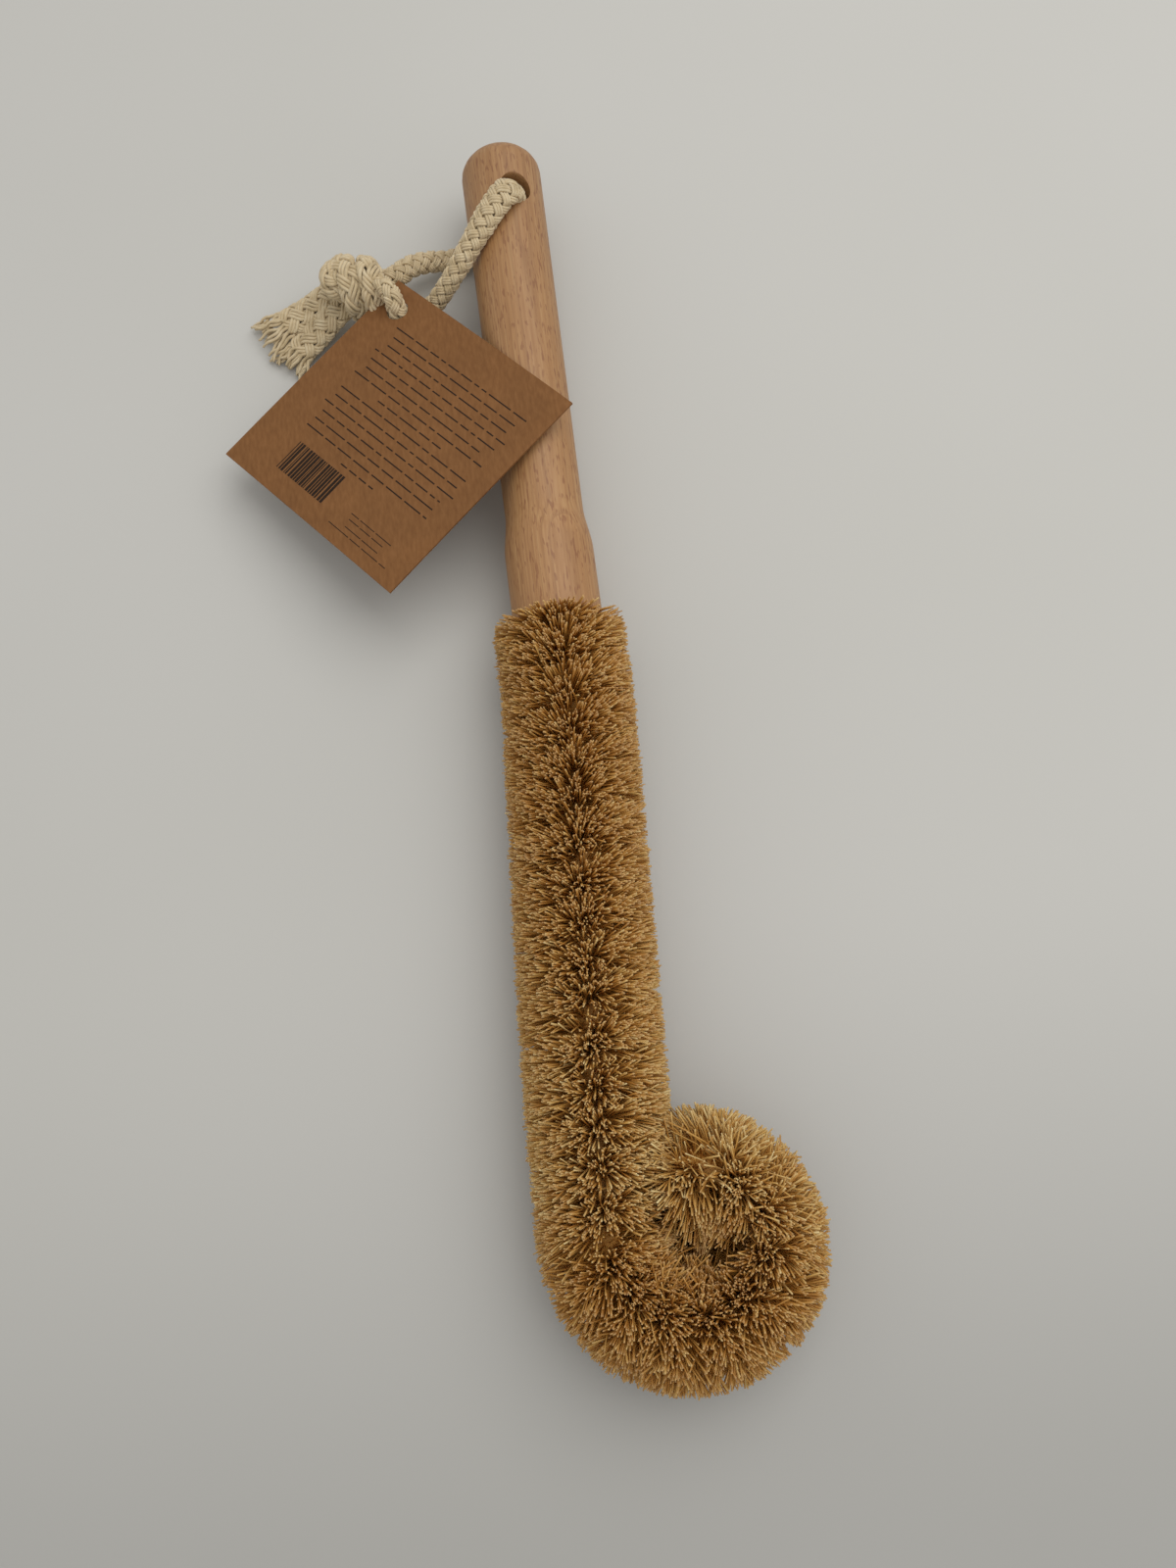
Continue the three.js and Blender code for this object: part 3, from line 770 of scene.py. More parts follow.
# %% Ink on the card
INK_HEIGHT = 0.03
UNIT_BOX = np.array([(a, b, c) for a in (0, 1) for b in (0, 1) for c in (0, 1)], float)
BOX_FACES = np.array([(0, 1, 3, 2), (4, 6, 7, 5), (0, 4, 5, 1), (2, 3, 7, 6), (0, 2, 6, 4), (1, 5, 7, 3)])
ink_points = []
ink_faces = []
for i, (x, y, width, height) in enumerate(marks):
    low = np.array((x - tag_side / 2, y - tag_side / 2, CARD_THICKNESS / 2 - INK_HEIGHT / 2))
    ink_points.append((low + UNIT_BOX * (width, height, INK_HEIGHT)) * MM)
    ink_faces.append(BOX_FACES + len(UNIT_BOX) * i)
ink_mesh = bpy.data.meshes.new("tag_print")
ink_mesh.from_pydata(np.concatenate(ink_points).tolist(), [], np.concatenate(ink_faces).tolist())
lie_on_tag(ink_mesh)
tag_print = bpy.data.objects.new("tag_print", ink_mesh)
bpy.context.collection.objects.link(tag_print)
face_outwards(tag_print)
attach(tag_print, "tag")
print("print", len(ink_mesh.polygons), "faces")

# %% [markdown]
# The ink is a brown-black that has sunk into the card, so it is dull and covers a little unevenly.

# %% Ink material
ink, ink_shader = new_material("brown_black_ink")
ink_place = add_node(ink, "ShaderNodeTexCoord")
ink_cover = add_node(
    ink, "ShaderNodeTexNoise", {"Vector": ink_place.outputs["Object"], "Scale": 2 / MM, "Detail": 2.0},
)
ink_tone = add_node(
    ink, "ShaderNodeValToRGB", {"Fac": ink_cover.outputs["Fac"]},
    stops=((0.3, "#1f150e"), (0.75, "#32241a")),
)
fill_sockets(ink, ink_shader, {
    "Base Color": ink_tone.outputs["Color"], "Roughness": 0.7, "Specular IOR Level": 0.15,
})
dress(ink_mesh, ink)

# %% [markdown]
# ## The cord's legs and what they carry
# A cord has a real length, a thickness and a place where it leaves the object. Each leg leaves the handle
# at one mouth of the cross hole and ends in the knot. The knot, the tails and the tag go with the front
# leg.

# %% What each leg carries
HOLE_MOUTHS = ((3.6, HOLE_Y, 11.6), (-4, HOLE_Y, -11.6))
carried = (knot_pieces + tail_pieces + [card, tag_print], [])
for piece, leg, mouth, on_it in zip(leg_pieces, (front_leg, rear_leg), HOLE_MOUTHS, carried):
    print(piece.name, "carries", len(on_it), "pieces")

# %% [markdown]
# ## The turned handle
# The handle is turned on a lathe from one piece of beech: a collar with an eased edge, a shoulder down to
# the waist, a grip that swells slowly to the tail, and a domed end. Turning is copied by starting from a
# circle at the bottom of the stem's socket and extruding it from station to station, each with its own
# radius.

# %% Profile of the handle
HANDLE_LENGTH = (handle_high.y - handle_low.y) / MM
COLLAR_RADIUS = (handle_high.x - handle_low.x) / MM / 2
COLLAR_LENGTH = 21.0
COLLAR_EDGE = 1.2
SHOULDER_LENGTH = 13.0
WAIST_RADIUS = 11.4
TAIL_RADIUS = 12.35
TAIL_DOME = 8.5
TAIL_FLAT = 0.6
SOCKET_RADIUS = 3.65
SOCKET_DEPTH = 38.3
ROUNDING_STEPS = 9
COLLAR_STEPS = 8
SHOULDER_STEPS = 15
GRIP_STEPS = 101


def straight(t):
    return t


def eased(t):
    return t * t * (3 - 2 * t)


def between(a, b, steps, ease=straight):
    shares = np.linspace(0, 1, steps)[1:]
    return [(a[0] + (b[0] - a[0]) * ease(t), a[1] + (b[1] - a[1]) * t) for t in shares]


dome_start = HANDLE_LENGTH - TAIL_DOME
shoulder_end = COLLAR_LENGTH + SHOULDER_LENGTH
quarter = np.linspace(0, math.pi / 2, ROUNDING_STEPS)
profile = [(SOCKET_RADIUS, SOCKET_DEPTH), (SOCKET_RADIUS, 0)]
for a in quarter:
    profile.append((COLLAR_RADIUS - COLLAR_EDGE * (1 - math.sin(a)), COLLAR_EDGE * (1 - math.cos(a))))
profile += between((COLLAR_RADIUS, COLLAR_EDGE), (COLLAR_RADIUS, COLLAR_LENGTH), COLLAR_STEPS)
profile += between((COLLAR_RADIUS, COLLAR_LENGTH), (WAIST_RADIUS, shoulder_end), SHOULDER_STEPS, eased)
profile += between((WAIST_RADIUS, shoulder_end), (TAIL_RADIUS, dome_start), GRIP_STEPS)
for a in quarter[1:-1]:
    profile.append((TAIL_RADIUS * math.cos(a), dome_start + TAIL_DOME * math.sin(a)))
profile.append((TAIL_FLAT, HANDLE_LENGTH))
print(len(profile), "stations")

# %% Turning by extrusion
HANDLE_SIDES = 128


def turned(name, stations, foot, sides):
    bpy.ops.object.select_all(action="DESELECT")
    radius, y = stations[0]
    start = foot + Vector((0, y * MM, 0))
    bpy.ops.mesh.primitive_circle_add(
        vertices=sides, radius=radius * MM, location=start, rotation=(math.pi / 2, 0, 0), fill_type="NGON",
    )
    piece = bpy.context.object
    piece.name = piece.data.name = name
    bpy.ops.object.transform_apply(location=True, rotation=True, scale=True)
    bpy.ops.object.mode_set(mode="EDIT")
    bpy.ops.mesh.select_all(action="SELECT")
    for (radius, y), (next_radius, next_y) in zip(stations, stations[1:]):
        bpy.ops.mesh.extrude_region_move(TRANSFORM_OT_translate={"value": (0, (next_y - y) * MM, 0)})
        scale = next_radius / radius
        centre = foot + Vector((0, next_y * MM, 0))
        bpy.ops.transform.resize(value=(scale, 1, scale), center_override=centre)
    bpy.ops.object.mode_set(mode="OBJECT")
    face_outwards(piece)
    return piece


handle = turned("handle_turned", profile, collar_face, HANDLE_SIDES)
print("handle", len(handle.data.polygons), "faces")

# %% [markdown]
# The cross hole is drilled at a slight roll to the handle's top, and its two mouths are eased so that
# they don't chafe the cord. The drill is turned in the same way, with a flare where it passes the
# surface, and a boolean takes it away from the handle.

# %% Cross hole
HOLE_RADIUS = 4.8
HOLE_ROLL = math.radians(18)
HOLE_FLARE = 0.5
FLARE_DEPTH = 1.6
MOUTH = 12.2
DRILL_REACH = 20
DRILL_SIDES = 64
HANDLE_CREASE = math.radians(40)
flare = []
for a in quarter:
    wider = HOLE_FLARE * (1 - math.cos(a))
    flare.append((HOLE_RADIUS + wider, MOUTH - FLARE_DEPTH + FLARE_DEPTH * math.sin(a)))
flare.append((flare[-1][0], DRILL_REACH))
drill_profile = [(r, -y) for r, y in reversed(flare)] + flare
drill = turned("drill", drill_profile, Vector((0, 0, 0)), DRILL_SIDES)
drill.rotation_euler = (math.pi / 2, HOLE_ROLL, 0)
drill.location = place(HOLE_MIDDLE)
cut_away(handle, drill)
bpy.ops.object.shade_smooth_by_angle(angle=HANDLE_CREASE)
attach(handle, "brush")
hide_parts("handle")
print("drilled handle", len(handle.data.polygons), "faces")

# %% [markdown]
# Beech is a pinkish-brown wood with a quiet figure. Growth rings about a millimetre apart lie almost flat
# under the handle's upper right. There they run as long streaks, and the shoulder cuts them into arches.
# A wave texture of scale one repeats every 0.314 units, so its scale is worked out from the rings' width.

# %% Rings and streaks of the beech
RING_WIDTH = 0.95
WAVE_PERIOD = 0.314
RING_SLANT = math.radians(65)
beech, beech_shader = new_material("oiled_beech")
beech_place = add_node(beech, "ShaderNodeTexCoord")
ring_place = add_node(
    beech, "ShaderNodeMapping",
    {"Vector": beech_place.outputs["Object"], "Rotation": (0.0, RING_SLANT, 0.0), "Scale": (1.0, 0.03, 1.0)},
)
rings = add_node(
    beech, "ShaderNodeTexWave",
    {
        "Vector": ring_place.outputs["Vector"], "Scale": WAVE_PERIOD / RING_WIDTH / MM, "Distortion": 5.0,
        "Detail": 2.0, "Detail Scale": 0.35, "Detail Roughness": 0.45,
    },
    bands_direction="X", wave_profile="SAW",
)
late_wood = add_node(
    beech, "ShaderNodeMapRange",
    {"Value": rings.outputs["Fac"], "From Min": 0.55, "From Max": 1.0, "To Min": 0.0, "To Max": 0.33},
    interpolation_type="SMOOTHSTEP",
)
streaks = add_node(
    beech, "ShaderNodeTexNoise",
    {"Vector": ring_place.outputs["Vector"], "Scale": 1.3 / MM, "Detail": 5.0, "Roughness": 0.6},
)
wood_tone = add_node(
    beech, "ShaderNodeValToRGB", {"Fac": streaks.outputs["Fac"]},
    stops=((0.3, "#986d43"), (0.7, "#af8759"), (0.5, "#a4794d")),
)
ringed = add_node(
    beech, "ShaderNodeMix", {0: late_wood.outputs[0], 6: wood_tone.outputs["Color"], 7: linear("#7d5533")},
    data_type="RGBA",
)
print("rings", RING_WIDTH, "mm apart")

# %% [markdown]
# On top of the rings come the rays, short dark dashes along the grain, which show most where the rings
# lie flat. Painted light makes the wood a little lighter at its collar end, and painted shade a little
# darker at its tail. Sanding and a thin oil leave a satin surface.

# %% Rays and finish of the beech
fleck_place = add_node(
    beech, "ShaderNodeMapping", {"Vector": beech_place.outputs["Object"], "Scale": (1.0, 0.17, 1.0)},
)
fleck_noise = add_node(
    beech, "ShaderNodeTexNoise",
    {"Vector": fleck_place.outputs["Vector"], "Scale": 1.6 / MM, "Detail": 1.0, "Roughness": 0.4},
)
fleck = add_node(
    beech, "ShaderNodeMapRange",
    {"Value": fleck_noise.outputs["Fac"], "From Min": 0.6, "From Max": 0.66, "To Min": 0.0, "To Max": 0.8},
)
beech_axes = add_node(beech, "ShaderNodeSeparateXYZ", {"Vector": beech_place.outputs["Object"]})
ray_ends = add_node(
    beech, "ShaderNodeMapRange",
    {"Value": beech_axes.outputs["X"], "From Min": -6 * MM, "From Max": 5 * MM, "To Min": 0.6, "To Max": 1.0},
)
fleck_share = add_node(
    beech, "ShaderNodeMath", {0: fleck.outputs[0], 1: ray_ends.outputs[0]}, operation="MULTIPLY",
)
flecked = add_node(
    beech, "ShaderNodeMix", {0: fleck_share.outputs[0], 6: ringed.outputs[2], 7: linear("#734025")},
    data_type="RGBA",
)
# Painted light and shade: the wood is lightened towards the collar and darkened towards the tail.
painted_light_along_handle = add_node(
    beech, "ShaderNodeMapRange",
    {
        "Value": beech_axes.outputs["Y"], "From Min": handle_low.y, "From Max": handle_high.y,
        "To Min": 1.09, "To Max": 0.94,
    },
)
wood_colour = add_node(
    beech, "ShaderNodeMix", {0: 1.0, 6: flecked.outputs[2], 7: painted_light_along_handle.outputs[0]},
    data_type="RGBA", blend_type="MULTIPLY",
)
wood_gloss = add_node(
    beech, "ShaderNodeMapRange",
    {"Value": streaks.outputs["Fac"], "From Min": 0.3, "From Max": 0.7, "To Min": 0.54, "To Max": 0.46},
)
wood_bump = add_node(
    beech, "ShaderNodeBump",
    {"Height": fleck_noise.outputs["Fac"], "Strength": 0.12, "Distance": 0.05 * MM},
)
fill_sockets(beech, beech_shader, {
    "Base Color": wood_colour.outputs[2], "Roughness": wood_gloss.outputs[0],
    "Normal": wood_bump.outputs["Normal"], "IOR": 1.5,
})
dress(handle.data, beech)

# %% [markdown]
# ## The stem
# Inside the bristles run two galvanised wires, and an adhesive sleeve holds them in the handle. Their
# solids have the right shape and stay, with better materials. Zinc gives the wire a dull grey spangle,
# and the adhesive is a milky amber.

# %% Wire and adhesive materials
zinc, zinc_shader = new_material("galvanised_wire")
zinc_place = add_node(zinc, "ShaderNodeTexCoord")
spangle = add_node(zinc, "ShaderNodeTexVoronoi", {"Vector": zinc_place.outputs["Object"], "Scale": 1 / MM})
zinc_tone = add_node(
    zinc, "ShaderNodeValToRGB", {"Fac": spangle.outputs["Distance"]},
    stops=((0.0, "#a3a6a8"), (1.0, "#7d8184")),
)
zinc_gloss = add_node(
    zinc, "ShaderNodeMapRange", {"Value": spangle.outputs["Distance"], "To Min": 0.35, "To Max": 0.55},
)
fill_sockets(zinc, zinc_shader, {
    "Base Color": zinc_tone.outputs["Color"], "Roughness": zinc_gloss.outputs[0], "Metallic": 1.0,
})
amber, amber_shader = new_material("cured_adhesive")
amber_place = add_node(amber, "ShaderNodeTexCoord")
milky = add_node(
    amber, "ShaderNodeTexNoise", {"Vector": amber_place.outputs["Object"], "Scale": 0.4 / MM, "Detail": 3.0},
)
amber_tone = add_node(
    amber, "ShaderNodeValToRGB", {"Fac": milky.outputs["Fac"]}, stops=((0.3, "#cdb98c"), (0.7, "#e2d3ae")),
)
fill_sockets(amber, amber_shader, {"Base Color": amber_tone.outputs["Color"], "Roughness": 0.4})
for node_name, material in (("stem_wire_1", zinc), ("stem_wire_2", zinc), ("stem_adhesive", amber)):
    dress(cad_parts[node_name].data, material)

# %% [markdown]
# ## The line of the stem
# The bristles need the stem's middle line: straight out of the collar, a slight bend, the shank, and a
# curl that tightens to its tip. Its heading is known at each distance along it, so adding up short steps
# gives the places. Past either end the line goes straight on, which the first and last rows of fibres
# use.

# %% Stem line
STEM_LEAD = 18.0
STEM_BEND = math.radians(3.1)
BEND_LENGTH = 8.0
SHANK_LENGTH = 137.8
CURL_START_RADIUS = 23.4
CURL_END_RADIUS = 15.5
CURL_SWEEP = math.radians(290)
CURL_LENGTH = 2 * CURL_SWEEP / (1 / CURL_START_RADIUS + 1 / CURL_END_RADIUS)
CURL_START = STEM_LEAD + BEND_LENGTH + SHANK_LENGTH
STEM_LENGTH = CURL_START + CURL_LENGTH
LINE_STEP = 0.25
LINE_PAST = 40


def heading(s):
    bent = np.clip((s - STEM_LEAD) / BEND_LENGTH, 0, 1) * STEM_BEND
    along = np.clip(s - CURL_START, 0, CURL_LENGTH)
    tightening = (1 / CURL_END_RADIUS - 1 / CURL_START_RADIUS) / CURL_LENGTH
    return -np.pi / 2 - bent + along / CURL_START_RADIUS + tightening * along**2 / 2


line_s = np.arange(-LINE_PAST, STEM_LENGTH + LINE_PAST, LINE_STEP)
line_turn = heading(line_s + LINE_STEP / 2)
line_x = np.concatenate([[0], np.cumsum(LINE_STEP * np.cos(line_turn))[:-1]])
line_y = np.concatenate([[LINE_PAST], LINE_PAST + np.cumsum(LINE_STEP * np.sin(line_turn))[:-1]])


def stem_place(s):
    return np.stack([np.interp(s, line_s, line_x), np.interp(s, line_s, line_y), np.zeros_like(s)], -1)


def spoke(s, turn):
    h = heading(s)
    return np.stack([-np.sin(h) * np.cos(turn), np.cos(h) * np.cos(turn), np.sin(turn)], -1)


print("stem %.0f mm, its tip at" % STEM_LENGTH, stem_place(np.array([STEM_LENGTH])).round(1)[0])

# %% [markdown]
# ## Coir
# Coir is the husk fibre of coconuts: straw to orange-brown, stiff, about a third of a millimetre thick,
# with a dull gleam along it. Every fibre has its own shade, kept in the first axis of its map, and the
# second axis runs from root to cut tip. Roots are painted a light amber, painted light that stands for
# light passing through the fibres into the shaded middle, and the cut ends are pale.

# %% Coir material
coir, coir_shader = new_material("coir_fibre")
coir_map = add_node(coir, "ShaderNodeUVMap", uv_map="OFBake")
coir_axes = add_node(coir, "ShaderNodeSeparateXYZ", {"Vector": coir_map.outputs["UV"]})
coir_tone = add_node(
    coir, "ShaderNodeValToRGB", {"Fac": coir_axes.outputs["X"]},
    stops=((0.0, "#8a5a1c"), (1.0, "#ead296"), (0.2, "#a8722b"), (0.45, "#bf893e"), (0.7, "#cfa459")),
)
# Painted light: the roots are a light amber that stands for light passing through the fibres into the shaded
# middle.
painted_root_glow = add_node(
    coir, "ShaderNodeMapRange",
    {"Value": coir_axes.outputs["Y"], "From Min": 0.3, "From Max": 0.95, "To Min": 0.1, "To Max": 1.0},
    interpolation_type="SMOOTHSTEP",
)
coir_colour = add_node(
    coir, "ShaderNodeMix",
    {0: painted_root_glow.outputs[0], 6: linear("#d29a46"), 7: coir_tone.outputs["Color"]}, data_type="RGBA",
)
cut_end = add_node(
    coir, "ShaderNodeMapRange",
    {"Value": coir_axes.outputs["Y"], "From Min": 0.95, "From Max": 1.0, "To Min": 0.0, "To Max": 0.2},
)
tipped_colour = add_node(
    coir, "ShaderNodeMix", {0: cut_end.outputs[0], 6: coir_colour.outputs[2], 7: linear("#f2e0b4")},
    data_type="RGBA",
)
fill_sockets(coir, coir_shader, {
    "Base Color": tipped_colour.outputs[2], "Roughness": 0.55, "Specular IOR Level": 0.4,
})
print(coir.name)

# %% [markdown]
# ## Fibres in the twist
# A fibre is described by where it is rooted along the stem, which way it points round it, and how far it
# reaches. The brush is trimmed to a cylinder, so nearly all the tips end at one radius. It reaches a
# little less far on the outer side of the curl's end, and a little farther on its inner side.

# %% How far fibres reach
BRISTLE_RADIUS = 18.8
OUTER_PLACES = (0, 120, STEM_LENGTH - 14, STEM_LENGTH)
OUTER_REACHES = (18.4, BRISTLE_RADIUS, 15.4, 17.6)
INNER_PLACES = (0, 120, STEM_LENGTH - 28, STEM_LENGTH - 16)
INNER_REACHES = (18.4, BRISTLE_RADIUS, BRISTLE_RADIUS, 20.4)


def reach_at(s, turn):
    outer = np.interp(s, OUTER_PLACES, OUTER_REACHES)
    inner = np.interp(s, INNER_PLACES, INNER_REACHES)
    return outer + (inner - outer) * (1 + np.cos(turn)) / 2


print("brush %.1f mm across" % (2 * BRISTLE_RADIUS))


# %% [markdown]
# Fibres cling together in tufts. The brush's surface is divided into squares with one tuft in each, off
# its middle by chance, and every tip is drawn some of the way to the nearest one. This is done twice,
# with small tufts and with large ones.

# %% Tufts
TUFTS = ((3.0, 0.28), (7.5, 0.14))
TUFT_PULLS = (0.4, 1.2)
SPARE_ROWS = 12
fibre_rng = np.random.default_rng(23)


def tufted(s, turn, size, pull):
    around = max(1, round(2 * math.pi * BRISTLE_RADIUS / size))
    rows = int(STEM_LENGTH / size) + SPARE_ROWS
    jitter = fibre_rng.random((rows, around, 2))
    row, slot = np.floor(s / size), np.floor(turn / (2 * np.pi) * around)
    best = np.full(len(s), np.inf)
    to_s, to_turn = s.copy(), turn.copy()
    for dr in (-1, 0, 1):
        for da in (-1, 0, 1):
            spot = jitter[(row + dr).astype(int) % rows, (slot + da).astype(int) % around]
            middle_s = (row + dr + spot[:, 0]) * size
            middle_turn = (slot + da + spot[:, 1]) / around * 2 * np.pi
            gap = (middle_s - s) ** 2 + ((middle_turn - turn) * BRISTLE_RADIUS) ** 2
            nearer = gap < best
            best = np.where(nearer, gap, best)
            to_s = np.where(nearer, middle_s, to_s)
            to_turn = np.where(nearer, middle_turn, to_turn)
    share = pull * fibre_rng.uniform(*TUFT_PULLS, len(s))
    return s + (to_s - s) * share, turn + (to_turn - turn) * share


# %% [markdown]
# The two wires pinch the fibres in two spiralling rows. From each row they fan out along the stem, and
# where a row faces the eye, one looks in along the fibres at their shaded roots. Some fibres fill in
# between the rows, and a few stray. At the stem's tip, about a third of those on top lie tangled.

# %% Rows, strays and tangles
FIBRES_PER_MM = 140
ROW_PITCH = 21.0
ROW_START = 1.1
ROW_WANDER = ((0.3, 7.3), (0.25, 4.1))
ROW_SPREAD = 0.42
BETWEEN_ROWS = 0.2
ROW_FAN = 4.6
TIP_SCATTER = 0.45
TIP_TURN = 0.035
STRAYS = 0.012
STRAYS_FROM = 10
TANGLE_LENGTH = 24.0
TANGLE_TOP = 0.6
TANGLED = 0.35
LOOSE_SCATTER = 4.5
LOOSE_TURN = 0.35


def roots_and_tips(start, end):
    count = int((end - start) * FIBRES_PER_MM)
    s = start + (end - start) * (np.arange(count) + fibre_rng.random(count)) / count
    row = ROW_START + np.pi * fibre_rng.integers(0, 2, count) + 2 * np.pi * s / ROW_PITCH
    row = row + sum(swing * np.sin(s / length) for swing, length in ROW_WANDER)
    beside = fibre_rng.normal(0, ROW_SPREAD, count)
    filling = fibre_rng.random(count) < BETWEEN_ROWS
    beside = np.where(filling, fibre_rng.uniform(-np.pi / 2, np.pi / 2, count), beside)
    turn = (row + beside) % (2 * np.pi)
    fan = fibre_rng.uniform(-1, 1, count)
    tip_s = s + ROW_FAN * fan + fibre_rng.normal(0, TIP_SCATTER, count)
    tip_turn = turn + fibre_rng.normal(0, TIP_TURN, count)
    at_tip = (s > STEM_LENGTH - TANGLE_LENGTH) & (np.sin(turn) > TANGLE_TOP)
    tangled = at_tip & (fibre_rng.random(count) < TANGLED)
    loose = tangled | ((fibre_rng.random(count) < STRAYS) & (s > STRAYS_FROM))
    tip_s = tip_s + np.where(loose, fibre_rng.normal(0, LOOSE_SCATTER, count), 0)
    tip_turn = tip_turn + np.where(loose, fibre_rng.normal(0, LOOSE_TURN, count), 0)
    for size, pull in TUFTS:
        tip_s, tip_turn = tufted(tip_s, tip_turn, size, pull)
    return s, turn, fan, tip_s, tip_turn


print("rows %.1f mm apart along the stem" % (ROW_PITCH / 2))


# %% [markdown]
# The path of a fibre is a bent line in the stem's own coordinates, from its root through a bend to its
# tip. The first rows crowd against the collar, and the last ones fan out past the end of the stem. Tips
# at the edges of a row's fan end a little lower, and some fibres are short.

# %% Fibre paths
BRISTLE_START = 0.3
ROOT_OUT = 1.2
ROW_DROP = 0.4
REACH_SCATTER = 0.3
SHORT = 0.25
SHORT_REACHES = (0.6, 1)
COLLAR_CLEARANCE = 13.2
COLLAR_CROWDING = 1.2
COLLAR_SQUEEZE = 0.25
TIP_FAN_LENGTH = 9
TIP_FAN = 1.2
BEND_SHARE = 0.4
BEND_OUT = 0.55
BEND_SCATTER = 0.4
BEND_TURN = 0.03


def fibre_rows(start, end):
    s, turn, fan, tip_s, tip_turn = roots_and_tips(start, end)
    count = len(s)
    squeezed = COLLAR_CROWDING + COLLAR_SQUEEZE * (tip_s - COLLAR_CROWDING)
    tip_s = np.where(tip_s < COLLAR_CROWDING, squeezed, tip_s)
    to_end = np.clip((s - (STEM_LENGTH - TIP_FAN_LENGTH)) / TIP_FAN_LENGTH, 0, 1)
    ahead = to_end * fibre_rng.random(count)
    reach = reach_at(s, turn) + ROW_DROP * (0.5 - fan**2) + fibre_rng.normal(0, REACH_SCATTER, count)
    short = fibre_rng.random(count) < SHORT
    reach = np.where(short, reach * fibre_rng.uniform(*SHORT_REACHES, count), reach)
    tip_s = tip_s + reach * np.sin(TIP_FAN * ahead)
    reach = reach * np.cos(TIP_FAN * ahead)
    bend_s = s + BEND_SHARE * (tip_s - s) + fibre_rng.normal(0, BEND_SCATTER, count)
    bend_turn = turn + BEND_SHARE * (tip_turn - turn) + fibre_rng.normal(0, BEND_TURN, count)
    return {
        "s": np.stack([s, bend_s, tip_s], 1),
        "turn": np.stack([turn, bend_turn, tip_turn], 1),
        "out": np.stack([np.full(count, ROOT_OUT), BEND_OUT * reach, reach], 1),
    }


def fibre_places(rows, t):
    weights = np.stack([(1 - t) ** 2, 2 * t * (1 - t), t**2], -1)
    s = (rows["s"][:, None] * weights).sum(2)
    turn = (rows["turn"][:, None] * weights).sum(2)
    out = (rows["out"][:, None] * weights).sum(2)
    s = np.where(out < COLLAR_CLEARANCE, np.maximum(s, BRISTLE_START), s)
    return stem_place(s) + out[..., None] * spoke(s, turn)


# %% [markdown]
# Inside the curl the fibres of one turn meet those of the next. Each is followed outwards until it is
# nearer to another stretch of the stem than to its own, and that is where it meets the others. Not every
# stretch gives way alike, so both distances are weighed. The straight shank gives way least. The tuft at
# the stem's tip pushes far across the middle, and a crescent stays open between it and the turn outside
# it.

# %% Where fibres meet inside the curl
OTHER_TURN = 14.0
YIELD_PLACES = (150, 170, 207, 230, 242)
YIELDS = (0.2, 0.33, 1.0, 1.0, 0.47)
MARKS_FROM = 100
MARK_STEP = 1.5
MEETING_FROM = 0.15
MEETING_STEPS = 20
FACING_INWARD = 0.2
CRESCENT_MIDDLE = (17.5, -164.5)
CRESCENT_REACH = (6.5, 12.0)
CRESCENT_ANGLES = (math.radians(-125), math.radians(0))
stem_marks = np.arange(MARKS_FROM, STEM_LENGTH, MARK_STEP)
stem_mark_places = stem_place(stem_marks)
print(len(stem_marks), "marks along the stem")


def in_crescent(spot):
    offset = spot[:, :2] - CRESCENT_MIDDLE
    distance = np.linalg.norm(offset, axis=1)
    angle = np.arctan2(offset[:, 1], offset[:, 0])
    near = (distance > CRESCENT_REACH[0]) & (distance < CRESCENT_REACH[1])
    return near & (angle > CRESCENT_ANGLES[0]) & (angle < CRESCENT_ANGLES[1])


def meeting_share(rows):
    t = np.linspace(MEETING_FROM, 1, MEETING_STEPS)
    points = fibre_places(rows, np.broadcast_to(t, (len(rows["s"]), MEETING_STEPS)))
    root_s = rows["s"][:, 0]
    own = np.linalg.norm(points - stem_place(root_s)[:, None], axis=2)
    own = own * np.interp(root_s, YIELD_PLACES, YIELDS)[:, None]
    other = np.full(own.shape, np.inf)
    for mark, spot in zip(stem_marks, stem_mark_places):
        far = np.abs(root_s - mark) > OTHER_TURN
        gap = np.linalg.norm(points - spot, axis=2)
        reached = far[:, None] & (gap < reach_at(mark, 0.0))
        gap = gap * np.interp(mark, YIELD_PLACES, YIELDS)
        other = np.where(reached & (gap < other), gap, other)
    met = (other < own) & (np.cos(rows["turn"][:, :1]) > FACING_INWARD)
    meets = met.any(1)
    first = met.argmax(1)
    share = np.where(meets, t[first], 1.0)
    on_top = np.sin(rows["turn"][:, 0]) > 0
    return share, meets & on_top & in_crescent(points[np.arange(len(points)), first])


# %% [markdown]
# A fibre that has met others pushes in among them by a few millimetres, and its tip is pressed up or down
# and to the side. Those at the crescent are cut a little shorter instead. No tip sinks into the table.

# %% Tips pressed aside
FIBRE_BENDS = 5
MEETING_OVERLAPS = (1.5, 6.5)
CRESCENT_GAP = 1.5
LEAST_SHARE = 0.2
MOST_PRESSED = 6
PRESSED_UP = (0.2, 0.7)
PRESSED_ASIDE = 0.6
PRESSED_LATE = 2.5
TIP_LYING = 0.25


